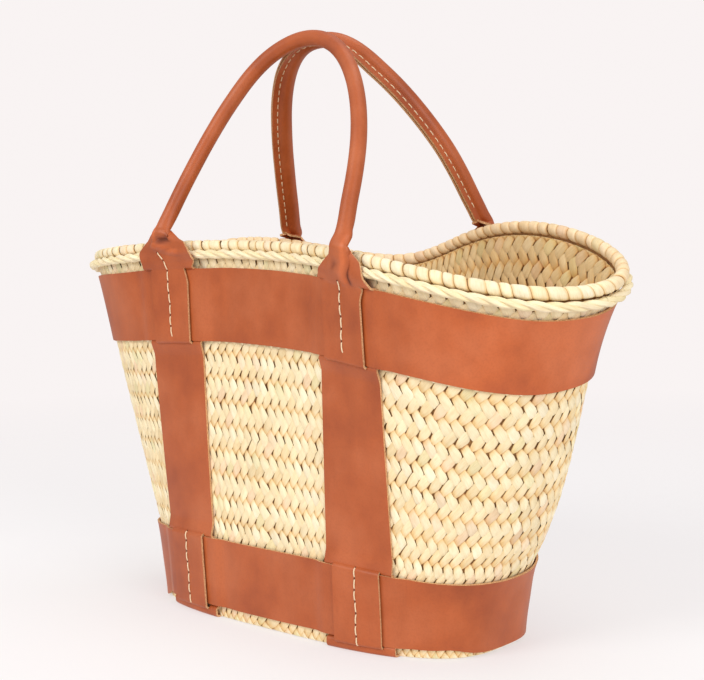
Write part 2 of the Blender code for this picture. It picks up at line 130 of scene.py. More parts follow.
@dataclass(frozen=True)
class BasketForm:
    """The basket's sizes and the formulas of its wall, as the frame has them."""

    base_length: float = 0.343
    base_width: float = 0.156
    rim_length: float = 0.540
    rim_width: float = 0.209
    rim_height: float = 0.317
    wall: float = 0.006
    base_corner: float = 0.008
    settle_height: float = 0.020
    flare_power: float = 1.21
    base_squareness: float = 3.0
    rim_squareness: float = 2.0
    sway_power: float = 1.83
    droop_power: float = 0.9
    mouth_x_shares: tuple = (0.029, 0.031, -0.090, 0.034, 0.068, 0.055, 0.030, 0.006, -0.015, 0.018, 0.023, 0.012)
    mouth_y_shares: tuple = (-0.178, -0.088, -0.138, -0.219, -0.371, -0.291, -0.184, -0.096, 0.024, 0.227, -0.103, -0.204)
    mouth_z_shares: tuple = (-0.101, -0.015, 0.030, -0.049, 0.001, -0.051, -0.065, -0.033, -0.009, -0.002, -0.043, -0.101)
    right_swell_shares: tuple = (
        0.0, -0.0037, -0.0074, 0.0040, 0.0090, 0.0074, 0.0019, -0.0050, -0.0115, -0.0111, -0.0028
    )
    left_swell_shares: tuple = (0.0, -0.0042, -0.0084, -0.0028, 0.0, 0.0019, 0.0035, 0.0035, 0.0009, -0.0012, 0.0)
    rim_roll: float = 0.005
    under_roll: float = 0.004
    under_roll_drop: float = 0.0065
    leather: float = 0.0024
    clearance: float = 0.0005
    band_height: float = 0.060
    upper_band_drop: float = 0.0231
    lower_band_foot: float = 0.0086
    band_rise_width: float = 0.012
    strap_width: float = 0.060
    strap_spacing_base: float = 0.184
    strap_spacing_rim: float = 0.201
    strap_margin: float = 0.009
    slit_width: float = 0.0006
    slit_overrun: float = 0.006
    hinge_rise: float = 0.001
    shift: tuple = (0.0, 0.0)

    @property
    def underside(self) -> float:
        """Height of the plait's underside over the ground."""
        return self.leather + self.clearance

    @property
    def wall_top(self) -> float:
        """Level at which the plait ends under the rim."""
        return self.rim_height - 2.0 * self.rim_roll - 2.0 * self.clearance

    @property
    def upper_band_foot(self) -> float:
        """Level of the upper band's lower edge."""
        return self.rim_height - self.upper_band_drop - self.band_height

    def around(self, values: tuple, angle: np.ndarray) -> np.ndarray:
        """Read a smooth closed curve through values spread evenly round the basket.

        Args:
            values: the values, from the +X end towards the back.
            angle: where to read them, in radians.

        Returns:
            The curve's value at each angle.
        """
        count = len(values)
        half = 0.5 * (angle[..., None] - TAU * np.arange(count) / count)
        near = np.abs(np.sin(half)) < 1e-9
        safe = np.where(near, 0.3, half)
        kernel = np.where(near, 1.0, np.sin(count * safe) / (count * np.tan(safe)))
        return kernel @ np.array(values)

    @staticmethod
    def step_curve(values: tuple, share: np.ndarray) -> np.ndarray:
        """Return a smooth curve through values at even steps of a share from 0 to 1."""
        table = np.array(values)
        last = len(table) - 1
        index = np.clip((share * last).astype(int), 0, last - 1)
        rest = share * last - index
        low, high = table[index], table[index + 1]
        before = np.where(index > 0, table[np.maximum(index - 1, 0)], 2.0 * low - high)
        after = np.where(index + 2 <= last, table[np.minimum(index + 2, last)], 2.0 * high - low)
        bend = 2.0 * before - 5.0 * low + 4.0 * high - after
        twist = -before + 3.0 * low - 3.0 * high + after
        return 0.5 * (2.0 * low + rest * (high - before + rest * (bend + rest * twist)))

    def end_swell(self, angle: np.ndarray, share: np.ndarray) -> np.ndarray:
        """Return how far the wall moves along X where an end swells or is drawn in."""
        facing = np.cos(angle)
        right = self.step_curve(self.right_swell_shares, share)
        left = self.step_curve(self.left_swell_shares, share)
        return facing * np.abs(facing) * self.rim_length * np.where(facing > 0.0, right, left)

    def ring(self, angle: np.ndarray, level: np.ndarray) -> np.ndarray:
        """Return points of the wall's outer face.

        Args:
            angle: places round the basket, in radians.
            level: heights along the wall.

        Returns:
            The points, with one more axis than the broadcast inputs.
        """
        angle, level = np.broadcast_arrays(np.asarray(angle, float), np.asarray(level, float))
        share = np.maximum(level / self.rim_height, 0.0)
        flare = share**self.flare_power
        half_length = 0.5 * (self.base_length + (self.rim_length - self.base_length) * flare)
        half_width = 0.5 * (self.base_width + (self.rim_width - self.base_width) * flare)
        rounding = 2.0 / (self.base_squareness + (self.rim_squareness - self.base_squareness) * share)
        sway = share**self.sway_power
        droop = share**self.droop_power * ease(level / self.settle_height)
        x = half_length * signed_power(np.cos(angle), rounding)
        y = half_width * signed_power(np.sin(angle), rounding)
        x = x + sway * 0.5 * self.rim_length * self.around(self.mouth_x_shares, angle) + self.end_swell(angle, share)
        y = y + sway * 0.5 * self.rim_width * self.around(self.mouth_y_shares, angle)
        z = level + droop * self.rim_height * self.around(self.mouth_z_shares, angle)
        return np.stack([x + self.shift[0], y + self.shift[1], z], axis=-1)

    def normal(self, angle: np.ndarray, level: np.ndarray) -> np.ndarray:
        """Return the directions straight out of the wall at angles and levels."""
        turn = math.radians(0.5)
        climb = 0.01 * self.rim_height
        along = self.ring(angle + turn, level) - self.ring(angle - turn, level)
        up = self.ring(angle, level + climb) - self.ring(angle, np.maximum(level - climb, 0.0))
        return unit(np.cross(along, up))

    def skin(self, angle: np.ndarray, level: np.ndarray, outward: np.ndarray) -> np.ndarray:
        """Return points at a distance out from the wall's outer face."""
        angle, level = np.broadcast_arrays(np.asarray(angle, float), np.asarray(level, float))
        return self.ring(angle, level) + self.normal(angle, level) * np.asarray(outward)[..., None]

    def strap_x(self, level: np.ndarray) -> np.ndarray:
        """Return how far each strap's middle lies from the basket's middle at a level."""
        share = np.maximum(np.asarray(level, float) / self.rim_height, 0.0)
        return 0.5 * (self.strap_spacing_base + (self.strap_spacing_rim - self.strap_spacing_base) * share)

    def angle_at(self, x: np.ndarray, level: np.ndarray, side: Side) -> np.ndarray:
        """Return the angles where a long wall reaches x.

        Args:
            x: distances along X from the basket's own middle.
            level: heights along the wall.
            side: which of the two long walls.

        Returns:
            The angles in radians, negative on the front.
        """
        x, level = np.broadcast_arrays(np.asarray(x, float), np.asarray(level, float))
        low = np.full(x.shape, 0.02)
        high = np.full(x.shape, math.pi - 0.02)
        for _ in range(26):
            middle = 0.5 * (low + high)
            beyond = self.ring(side.value * middle, level)[..., 0] - self.shift[0] > x
            low = np.where(beyond, middle, low)
            high = np.where(beyond, high, middle)
        return side.value * 0.5 * (low + high)

    def hinge_points(self, side: Side) -> np.ndarray:
        """Return the fold line's points at the left and the right strap's top."""
        outward = 2.0 * self.clearance + 2.0 * self.under_roll + self.leather
        level = np.full(2, self.rim_height)
        angle = self.angle_at(np.array([-1.0, 1.0]) * self.strap_x(level), level, side)
        flat = self.normal(angle, level)
        flat[:, 2] = 0.0
        points = self.ring(angle, level) + unit(flat) * outward
        points[:, 2] += self.hinge_rise
        return points

    def settled_on(self, frame: dict) -> "BasketForm":
        """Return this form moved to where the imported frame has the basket."""
        joint = next(item for item in frame["joints"] if item["child"] == "front_handle")
        middle = self.hinge_points(Side.FRONT).mean(axis=0)
        move = np.array(joint["pos_m"]) - middle
        return replace(self, shift=(float(move[0]), float(move[1])))


class Workbench:
    """Hand tools shared by every maker."""

    @staticmethod
    def hold(piece: bpy.types.Object) -> None:
        """Select one piece alone and make it active."""
        for item in list(bpy.context.selected_objects):
            item.select_set(False)
        piece.select_set(True)
        bpy.context.view_layer.objects.active = piece

    @staticmethod
    def apply_all(piece: bpy.types.Object) -> None:
        """Apply every modifier of a piece, in order."""
        Workbench.hold(piece)
        for modifier in list(piece.modifiers):
            bpy.ops.object.modifier_apply(modifier=modifier.name)

    @staticmethod
    def smooth(piece: bpy.types.Object, degrees: float = 180.0) -> None:
        """Shade a piece smooth, but for edges sharper than an angle."""
        Workbench.hold(piece)
        if degrees >= 180.0:
            bpy.ops.object.shade_smooth()
        else:
            bpy.ops.object.shade_smooth_by_angle(angle=math.radians(degrees))

    @staticmethod
    def grid(name: str, rows: int, columns: int) -> bpy.types.Object:
        """Add a flat grid primitive to shape.

        Args:
            name: the piece's name.
            rows: how many rows of points it has.
            columns: how many points each row has.

        Returns:
            The new piece.
        """
        for item in list(bpy.context.selected_objects):
            item.select_set(False)
        bpy.ops.mesh.primitive_grid_add(x_subdivisions=columns - 1, y_subdivisions=rows - 1, size=1.0)
        piece = bpy.context.active_object
        piece.name = name
        piece.data.name = name
        return piece

    @staticmethod
    def place(piece: bpy.types.Object, points: np.ndarray) -> None:
        """Move a piece's points to where they belong."""
        piece.data.vertices.foreach_set("co", points.astype(np.float32).ravel())
        piece.data.update()

    @staticmethod
    def drop(piece: bpy.types.Object) -> None:
        """Take a template off the bench once it has been copied."""
        mesh = piece.data
        bpy.data.objects.remove(piece, do_unlink=True)
        bpy.data.meshes.remove(mesh)

    @staticmethod
    def cells(
        name: str, points: np.ndarray, uvs: np.ndarray, tints: np.ndarray, body: np.ndarray, quads: np.ndarray
    ) -> bpy.types.Object:
        """Join many copies of one template into a piece.

        Args:
            name: the piece's name.
            points: copies by template points by three.
            uvs: copies by template points by two.
            tints: copies by four, a colour for each copy.
            body: copies by template points, 0 on a strip's edge and 1 well inside it.
            quads: the template's faces.

        Returns:
            The new piece, with a leaf_uv map and a leaf_tint colour.
        """
        copies, count = points.shape[:2]
        faces = (quads[None] + (np.arange(copies) * count)[:, None, None]).reshape(-1, quads.shape[1])
        mesh = bpy.data.meshes.new(name)
        mesh.vertices.add(copies * count)
        mesh.vertices.foreach_set("co", points.reshape(-1).astype(np.float32))
        mesh.loops.add(faces.size)
        mesh.loops.foreach_set("vertex_index", faces.reshape(-1).astype(np.int32))
        mesh.polygons.add(len(faces))
        mesh.polygons.foreach_set("loop_start", (np.arange(len(faces)) * quads.shape[1]).astype(np.int32))
        mesh.update(calc_edges=True)
        layer = mesh.uv_layers.new(name="leaf_uv")
        layer.data.foreach_set("uv", uvs.reshape(-1, 2)[faces.reshape(-1)].reshape(-1).astype(np.float32))
        colour = mesh.color_attributes.new("leaf_tint", "FLOAT_COLOR", "POINT")
        spread = np.repeat(tints, count, axis=0)
        spread[:, 3] = body.reshape(-1)
        colour.data.foreach_set("color", spread.reshape(-1).astype(np.float32))
        mesh.validate()
        piece = bpy.data.objects.new(name, mesh)
        bpy.context.scene.collection.objects.link(piece)
        Workbench.smooth(piece)
        return piece

    @staticmethod
    def threads(name: str, runs: list[np.ndarray], radius: float, fineness: int = 1) -> bpy.types.Object:
        """Draw lengths of thread or cord along points and turn them into a mesh.

        Args:
            name: the piece's name.
            runs: the points of each length.
            radius: the thread's radius.
            fineness: how round it is.

        Returns:
            The new piece.
        """
        curve = bpy.data.curves.new(name, "CURVE")
        curve.dimensions = "3D"
        curve.bevel_depth = radius
        curve.bevel_resolution = fineness
        curve.use_fill_caps = True
        for run in runs:
            spline = curve.splines.new("POLY")
            spline.points.add(len(run) - 1)
            flat = np.concatenate([run, np.ones((len(run), 1))], axis=1)
            spline.points.foreach_set("co", flat.reshape(-1).astype(np.float32))
        piece = bpy.data.objects.new(name, curve)
        bpy.context.scene.collection.objects.link(piece)
        Workbench.hold(piece)
        bpy.ops.object.convert(target="MESH")
        piece = bpy.context.active_object
        piece.name = name
        Workbench.smooth(piece)
        return piece


class Recipe:
    """A material under construction: its nodes, and short ways to add and join them."""

    def __init__(self, name: str) -> None:
        """Start a Principled material.

        Args:
            name: the material's name.
        """
        self.material = bpy.data.materials.new(name)
        self.material.use_nodes = True
        self.tree = self.material.node_tree
        self.shader = self.tree.nodes["Principled BSDF"]

    def add(self, kind: str, **values: object) -> bpy.types.Node:
        """Add a node and set its properties.

        Args:
            kind: the node's type.
            values: its properties by name.

        Returns:
            The node.
        """
        node = self.tree.nodes.new(kind)
        for name, value in values.items():
            setattr(node, name, value)
        return node

    def join(self, start: bpy.types.NodeSocket, end: bpy.types.NodeSocket) -> None:
        """Link an output to an input."""
        self.tree.links.new(start, end)

    def noise(self, place: bpy.types.NodeSocket, scale: float, detail: float = 3.0, stretch: tuple = (1.0, 1.0, 1.0)):
        """Add noise over a place and return its value socket.

        Args:
            place: the coordinates it follows.
            scale: how fine it is, per unit of the coordinates.
            detail: how many finer layers it has.
            stretch: a scale for each axis.

        Returns:
            The noise's value.
        """
        mapping = self.add("ShaderNodeMapping")
        mapping.inputs["Scale"].default_value = stretch
        self.join(place, mapping.inputs["Vector"])
        noise = self.add("ShaderNodeTexNoise")
        noise.inputs["Scale"].default_value = scale
        noise.inputs["Detail"].default_value = detail
        self.join(mapping.outputs["Vector"], noise.inputs["Vector"])
        return noise.outputs["Fac"]

    def ramp(self, value: bpy.types.NodeSocket, stops: list[tuple[float, tuple]]):
        """Colour a value by stops and return the colour socket.

        Args:
            value: the value to colour.
            stops: place and colour of each stop.

        Returns:
            The colour.
        """
        node = self.add("ShaderNodeValToRGB")
        ramp = node.color_ramp
        while len(ramp.elements) < len(stops):
            ramp.elements.new(0.5)
        for element, (place, colour) in zip(ramp.elements, stops):
            element.position = place
            element.color = colour
        self.join(value, node.inputs["Fac"])
        return node.outputs["Color"]

    def blend(self, first: object, second: object, share: object, mode: str = "MIX"):
        """Mix two colours and return the result socket.

        Args:
            first: a colour or a socket.
            second: a colour or a socket.
            share: how much of the second, a number or a socket.
            mode: how they mix.

        Returns:
            The mixed colour.
        """
        node = self.add("ShaderNodeMix", data_type="RGBA", blend_type=mode)
        for index, given in ((6, first), (7, second), (0, share)):
            if isinstance(given, bpy.types.NodeSocket):
                self.join(given, node.inputs[index])
            else:
                node.inputs[index].default_value = given
        return node.outputs[2]

    def spread(self, value: bpy.types.NodeSocket, low: float, high: float):
        """Stretch a value of 0 to 1 over low to high and return the socket."""
        node = self.add("ShaderNodeMapRange")
        node.inputs["To Min"].default_value = low
        node.inputs["To Max"].default_value = high
        self.join(value, node.inputs["Value"])
        return node.outputs["Result"]

    def bump(self, height: bpy.types.NodeSocket, distance: float, strength: float = 1.0) -> None:
        """Give the surface relief from a height of 0 to 1.

        Args:
            height: the height.
            distance: how deep it is, in metres.
            strength: how much of it shows.
        """
        node = self.add("ShaderNodeBump")
        node.inputs["Strength"].default_value = strength
        node.inputs["Distance"].default_value = distance
        self.join(height, node.inputs["Height"])
        self.join(node.outputs["Normal"], self.shader.inputs["Normal"])


@dataclass(frozen=True)
class LeafFinish:
    """Dry palm leaf: each strip has its own tint, fine fibres and a soft sheen."""

    name: str
    shade: tuple = (1.0, 1.0, 1.0, 1.0)
    roughness: float = 0.55
    darkest_edge_and_tuck_shading: tuple = tone(178, 122, 64)
    edge_and_tuck_shading: tuple = tone(247, 230, 202)

    def make(self) -> bpy.types.Material:
        """Return the material, which reads leaf_tint and leaf_uv."""
        recipe = Recipe(self.name)
        drawn = recipe.add("ShaderNodeVertexColor", layer_name="leaf_tint")
        tint = drawn.outputs["Color"]
        # The leaf_tint alpha makes each leaf darker brown along its edges and towards the ends that go under its
        # neighbours: partly the leaf's own edge colour, partly painted shade.
        stops = [(0.0, self.darkest_edge_and_tuck_shading), (0.20, self.edge_and_tuck_shading), (0.62, (1.0, 1.0, 1.0, 1.0))]
        rim = recipe.ramp(drawn.outputs["Alpha"], stops)
        tint = recipe.blend(tint, rim, 1.0, "MULTIPLY")
        place = recipe.add("ShaderNodeUVMap", uv_map="leaf_uv").outputs["UV"]
        fibres = recipe.noise(place, 1.0, 2.0, (26.0, 1.6, 1.0))
        blotch = recipe.noise(place, 1.0, 2.0, (2.2, 1.1, 1.0))
        dry = recipe.ramp(fibres, [(0.30, (0.88, 0.85, 0.77, 1.0)), (0.62, (1.01, 0.98, 0.95, 1.0))])
        stain = recipe.ramp(blotch, [(0.30, (0.94, 0.90, 0.82, 1.0)), (0.60, (1.03, 1.03, 1.02, 1.0))])
        colour = recipe.blend(tint, dry, 1.0, "MULTIPLY")
        colour = recipe.blend(colour, stain, 1.0, "MULTIPLY")
        # Painted shade: a shaded copy of the leaf is multiplied by its shade colour.
        if self.shade != (1.0, 1.0, 1.0, 1.0):
            colour = recipe.blend(colour, self.shade, 1.0, "MULTIPLY")
        recipe.join(colour, recipe.shader.inputs["Base Color"])
        rough = recipe.spread(fibres, self.roughness - 0.08, self.roughness + 0.10)
        recipe.join(rough, recipe.shader.inputs["Roughness"])
        recipe.shader.inputs["Specular IOR Level"].default_value = 0.42
        recipe.bump(fibres, 0.12 * MM, 0.6)
        return recipe.material


@dataclass(frozen=True)
class LeatherFinish:
    """Vegetable-tanned leather: uneven tan, fine grain, a waxy sheen."""

    name: str
    deep: tuple = tone(160, 74, 32)
    plain: tuple = tone(176, 86, 39)
    rosy: tuple = tone(184, 96, 52)
    roughness: float = 0.44

    def make(self) -> bpy.types.Material:
        """Return the material, which reads Object coordinates and an attribute of painted shade and painted
        highlight.
        """
        recipe = Recipe(self.name)
        place = recipe.add("ShaderNodeTexCoord").outputs["Object"]
        clouds = recipe.noise(place, 22.0, 3.0)
        streaks = recipe.noise(place, 60.0, 3.0, (1.0, 1.0, 0.35))
        grain = recipe.noise(place, 1500.0, 2.0)
        pores = recipe.noise(place, 620.0, 3.0)
        colour = recipe.ramp(clouds, [(0.30, self.deep), (0.48, self.plain), (0.66, self.rosy)])
        fleck = recipe.ramp(streaks, [(0.32, (0.93, 0.91, 0.89, 1.0)), (0.62, (1.04, 1.03, 1.02, 1.0))])
        colour = recipe.blend(colour, fleck, 1.0, "MULTIPLY")
        speck = recipe.ramp(pores, [(0.35, (0.93, 0.90, 0.88, 1.0)), (0.55, (1.02, 1.02, 1.02, 1.0))])
        colour = recipe.blend(colour, speck, 0.7, "MULTIPLY")
        # Painted shade and painted highlight: the attribute darkens the leather where shade falls in folds, and
        # lightens it where light falls on ridges and on the upper band's right end.
        crease = recipe.add("ShaderNodeAttribute")
        crease.attribute_name = "crease"
        dark = recipe.ramp(
            crease.outputs["Fac"],
            [(0.0, (1.0, 1.0, 1.0, 1.0)), (0.5, (0.60, 0.52, 0.46, 1.0)), (1.0, (0.26, 0.20, 0.17, 1.0))],
        )
        colour = recipe.blend(colour, dark, 1.0, "MULTIPLY")
        ridge = recipe.add("ShaderNodeMath")
        ridge.operation = "MULTIPLY"
        ridge.inputs[1].default_value = -1.0
        recipe.join(crease.outputs["Fac"], ridge.inputs[0])
        pale = recipe.ramp(ridge.outputs[0], [(0.0, (1.0, 1.0, 1.0, 1.0)), (0.5, (1.24, 1.26, 1.30, 1.0))])
        colour = recipe.blend(colour, pale, 1.0, "MULTIPLY")
        recipe.join(colour, recipe.shader.inputs["Base Color"])
        rough = recipe.spread(pores, self.roughness - 0.07, self.roughness + 0.12)
        recipe.join(rough, recipe.shader.inputs["Roughness"])
        recipe.shader.inputs["Specular IOR Level"].default_value = 0.45
        height = recipe.blend(recipe.spread(grain, 0.0, 1.0), recipe.spread(pores, 0.0, 1.0), 0.5)
        recipe.bump(height, 0.10 * MM, 0.5)
        return recipe.material


@dataclass(frozen=True)
class PlainFinish:
    """Thread, rope, raw leather edge, needle-hole shade or the painted shade in the depth of the plait: one colour,
    made uneven.
    """

    name: str
    low: tuple
    high: tuple
    scale: float
    roughness: float = 0.8
    depth: float = 0.1 * MM

    def make(self) -> bpy.types.Material:
        """Return the material, which reads Object coordinates."""
        recipe = Recipe(self.name)
        place = recipe.add("ShaderNodeTexCoord").outputs["Object"]
        patches = recipe.noise(place, self.scale, 3.0)
        colour = recipe.ramp(patches, [(0.32, self.low), (0.66, self.high)])
        recipe.join(colour, recipe.shader.inputs["Base Color"])
        recipe.join(recipe.spread(patches, self.roughness - 0.08, self.roughness + 0.08), recipe.shader.inputs["Roughness"])
        recipe.bump(patches, self.depth, 0.6)
        return recipe.material


@dataclass
class Finishes:
    """Every material of the basket, made once."""

    leaf: bpy.types.Material = field(default_factory=lambda: LeafFinish("palm_leaf").make())
    # Painted shade: the inside faces use a darker, warmer copy of the leaf, standing for the shade inside the basket.
    inner_leaf: bpy.types.Material = field(
        default_factory=lambda: LeafFinish("shaded_palm_leaf", tone(243, 232, 214), 0.6).make()
    )
    rim_leaf: bpy.types.Material = field(default_factory=lambda: LeafFinish("rim_palm_leaf", roughness=0.5).make())
    leather: bpy.types.Material = field(default_factory=lambda: LeatherFinish("tan_leather").make())
    edge: bpy.types.Material = field(
        default_factory=lambda: PlainFinish("raw_leather_edge", tone(180, 126, 82), tone(228, 182, 134), 900.0).make()
    )
    thread: bpy.types.Material = field(
        default_factory=lambda: PlainFinish("waxed_thread", tone(226, 196, 156), tone(244, 222, 188), 1400.0).make()
    )
    # Painted shade: dark brown dots where the thread goes into the leather stand for the shade inside each needle
    # hole.
    pit: bpy.types.Material = field(
        default_factory=lambda: PlainFinish("needle_hole", tone(70, 34, 20), tone(92, 46, 28), 900.0).make()
    )
    rope: bpy.types.Material = field(
        default_factory=lambda: PlainFinish("cotton_rope", tone(205, 190, 160), tone(232, 220, 194), 500.0).make()
    )
    # Painted shade: a dark brown vessel inside the plait stands for the shade seen through the gaps between the
    # leaves.
    depth: bpy.types.Material = field(
        default_factory=lambda: PlainFinish("plait_depth", tone(110, 70, 30), tone(150, 104, 54), 260.0).make()
    )
    cord: bpy.types.Material = field(
        default_factory=lambda: PlainFinish("sewing_cord", tone(170, 142, 92), tone(214, 190, 138), 700.0).make()
    )


@dataclass
class Plait:
    """Twill plait of palm leaf, laid on both faces of the wall and of the floor."""

    form: BasketForm
    finishes: Finishes
    seed: int = 7
    leaves_round: int = 136
    leaf_ratio: float = 1.4
    row_height: float = 0.01005
    first_row: float = -0.30
    wide_end_angle: float = -0.45
    wide_end_share: float = 0.24
    sole: float = 0.55 * MM
    flat_foot: float = 6.0 * MM
    tip_margin: float = 0.5 * MM
    foot_corner: float = 0.6 * MM
    crown: float = 0.50 * MM
    edge_drop: float = 0.28 * MM
    tuck_drop: float = 1.0 * MM
    depth: float = 1.3 * MM

    # Each row: share along, how much it narrows, how far it sinks under the neighbouring leaf, and body, which
    # lightens the leaf as it comes out from under that neighbour; below 1 it takes darker edge colour and painted
    # shade.
    PROFILES = {
        Lean.FALLING: (
            (-0.14, 0.17, 1.00, 0.00),
            (0.03, 0.085, 0.40, 0.22),
            (0.30, 0.03, 0.06, 0.62),
            (0.72, -0.01, 0.00, 1.00),
            (0.97, 0.05, 0.12, 1.00),
            (1.08, 0.26, 0.75, 0.60),
        ),
        Lean.RISING: (
            (-0.16, 0.20, 1.00, 0.00),
            (0.03, 0.13, 0.44, 0.18),
            (0.28, 0.055, 0.10, 0.50),
            (0.65, 0.00, 0.05, 0.85),
            (0.92, 0.02, 0.42, 0.90),
            (1.16, 0.08, 1.20, 0.50),
        ),
    }

    PALETTES = {
        Lean.FALLING: (
            (0.52, tone(250, 236, 202)),
            (0.22, tone(252, 241, 213)),
            (0.14, tone(246, 229, 191)),
            (0.08, tone(247, 227, 198)),
            (0.04, tone(241, 233, 194)),
        ),
        Lean.RISING: (
            (0.48, tone(246, 228, 190)),
            (0.24, tone(242, 221, 179)),
            (0.14, tone(250, 234, 199)),
            (0.09, tone(243, 217, 185)),
            (0.05, tone(237, 224, 181)),
        ),
    }

    def __post_init__(self) -> None:
        """Seed the random draws and measure the wall round its middle."""
        self.random = np.random.default_rng(self.seed)
        dense = np.linspace(0.0, TAU, 1441)
        points = self.form.ring(dense, np.full(dense.shape, 0.6 * self.form.rim_height))
        steps = np.linalg.norm(np.diff(points, axis=0), axis=1)
        middle = 0.5 * (dense[1:] + dense[:-1])
        steps = steps / (1.0 + self.wide_end_share * np.cos(middle - self.wide_end_angle))
        self.dense = dense
        self.shares = np.concatenate([[0.0], np.cumsum(steps)]) / steps.sum()

    def template(self, lean: Lean) -> tuple[np.ndarray, np.ndarray, np.ndarray]:
        """Shape one leaf cell from a grid: crowned across, tucked under at both ends.

        Args:
            lean: the way the leaf leans, which has its own profile.

        Returns:
            Its points as share across, share along, height and how much it narrows there, its faces, and how far each
            point is from its edge or its tucked end, which sets how much darker edge colour and painted shade it
            takes.
        """
        across = np.array([0.0, 0.14, 0.5, 0.86, 1.0])
        along, narrow, sink, body = (np.array(part) for part in zip(*self.PROFILES[lean]))
        leaf = Workbench.grid("leaf_template", len(along), len(across))
        quads = np.array([list(face.vertices) for face in leaf.data.polygons])
        Workbench.drop(leaf)
        grid_along, grid_across = np.meshgrid(along, across, indexing="ij")
        crown = 1.0 - (2.0 * grid_across - 1.0) ** 2
        height = -self.edge_drop + (self.crown + self.edge_drop) * crown**0.6
        height = height - self.tuck_drop * sink[:, None]
        slim = np.broadcast_to(narrow[:, None], height.shape)
        points = np.stack([grid_across, grid_along, height, slim], axis=-1).reshape(-1, 4)
        rim = np.minimum(grid_across, 1.0 - grid_across)
        floor = 0.55 * ease((grid_along - 0.1) / 0.7)
        edge_and_tuck_shading = np.minimum(body[:, None], floor + 4.0 * rim).reshape(-1)
        return points, quads, edge_and_tuck_shading

    def tints(self, lean: Lean, count: int) -> np.ndarray:
        """Draw a colour for each leaf.

        Args:
            lean: the way the leaves lean, which has its own palette.
            count: how many leaves.

        Returns:
            One colour for each.
        """
        shares = np.array([share for share, _ in self.PALETTES[lean]])
        colours = np.array([colour for _, colour in self.PALETTES[lean]])
        picked = colours[self.random.choice(len(colours), size=count, p=shares / shares.sum())]
        light = 1.0 + self.random.normal(0.0, 0.035, (count, 1))
        picked = picked.copy()
        picked[:, :3] *= light
        return np.clip(picked, 0.0, 1.0)

    def angle_of(self, place: np.ndarray, count: float) -> np.ndarray:
        """Return the angle round the basket of a place counted in leaves."""
        turns = place / count
        whole = np.floor(turns)
        return np.interp(turns - whole, self.shares, self.dense) + whole * TAU

    def cell_points(
        self, points: np.ndarray, lean: Lean, column: np.ndarray, row: np.ndarray, openness: np.ndarray
    ) -> tuple[np.ndarray, np.ndarray, np.ndarray]:
        """Lay copies of the template on the twill's lattice.

        Args:
            points: the template's points.
            lean: the way these leaves lean.
            column: each copy's place round the basket, in leaves.
            row: each copy's place up the wall, in rows.
            openness: how wide the gaps beside each copy are.

        Returns:
            Place round, place up and height of each point of each copy.
        """
        count = len(column)
        loose = np.clip(openness[:, None] * (1.0 + self.random.normal(0.0, 0.35, (count, 1))), 0.0, 2.2)
        slim = 1.0 - 2.0 * points[None, :, 3] * loose
        across = 0.5 + (points[None, :, 0] - 0.5) * slim + self.random.normal(0.0, 0.015, (count, 1))
        along = points[None, :, 1] + self.random.normal(0.0, 0.02, (count, 1))
        lift = points[None, :, 2] + self.random.normal(0.0, 0.10 * MM, (count, 1))
        twist = self.random.normal(0.0, 0.25 * MM, (count, 1))
        lift = lift + twist * (points[None, :, 0] - 0.5)
        step = 0.5 * self.leaf_ratio * along + 0.5 * across
        climb = along - across / self.leaf_ratio
        if lean is Lean.FALLING:
            climb = -climb
        round_place = column[:, None] + step
        return round_place, row[:, None] + climb, lift

    def lattice(self, rows: int, count: int) -> dict:
        """Return the column, row and openness of every leaf, by the way it leans."""
        columns = np.arange(count)
        sway = self.random.normal(0.0, 0.05, rows)
        found = {Lean.FALLING: ([], [], []), Lean.RISING: ([], [], [])}
        for index in range(rows):
            jitter = self.random.normal(0.0, 0.035, count)
            for lean, step, rise in ((Lean.FALLING, 0.0, 0.0), (Lean.RISING, 0.5, 1.0 / self.leaf_ratio)):
                found[lean][0].append(columns + step + sway[index] + jitter)
                found[lean][1].append(np.full(count, 2.0 * index + rise))
                drift = 0.25 * np.sin(TAU * (columns * self.random.integers(2, 6) / count + self.random.random()))
                found[lean][2].append(self.random.choice([0.35, 0.7, 1.0, 1.25]) + drift)
        return {lean: tuple(np.concatenate(part) for part in parts) for lean, parts in found.items()}

    def weave_wall(self, name: str, inside: bool) -> bpy.types.Object:
        """Weave one face of the wall.

        Args:
            name: the piece's name.
            inside: whether it is the face inside the basket.

        Returns:
            The new piece.
        """
        form = self.form
        top = form.wall_top
        rows = int(math.ceil((top / self.row_height + 2.0) / 2.0))
        parts, tints, uvs, bodies = [], [], [], []
        for lean, (column, row, openness) in self.lattice(rows, self.leaves_round).items():
            points, quads, edge_and_tuck_shading = self.template(lean)
            place, climb, lift = self.cell_points(points, lean, column, row, openness)
            level = (climb + self.first_row) * self.row_height + form.underside
            ground = self.sole + 0.2 * MM
            if not inside:
                level = np.where(level < ground, ground + 0.05 * (level - ground), level)
                lift = lift * np.clip((level - ground) / self.flat_foot, 0.35, 1.0)
            keep = (level.min(axis=1) < top) & (level.max(axis=1) > form.underside + 1.0 * MM)
            place, level, lift = place[keep], level[keep], lift[keep]
            angle = self.angle_of(place, self.leaves_round)
            parts.append(self.wall_points(angle, np.minimum(level, top), lift, inside))
            tints.append(self.tints(lean, len(place)))
            uvs.append(self.leaf_uvs(points, len(place)))
            bodies.append(np.tile(edge_and_tuck_shading, (len(place), 1)))
        faces = quads if not inside else quads[:, ::-1]
        piece = Workbench.cells(name, *(np.concatenate(part) for part in (parts, uvs, tints, bodies)), faces)
        piece.data.materials.append(self.finishes.inner_leaf if inside else self.finishes.leaf)
        return piece

    def leaf_uvs(self, points: np.ndarray, count: int) -> np.ndarray:
        """Give each leaf its own patch of fibres."""
        start = self.random.uniform(0.0, 60.0, (count, 1, 2))
        return points[None, :, :2] + start

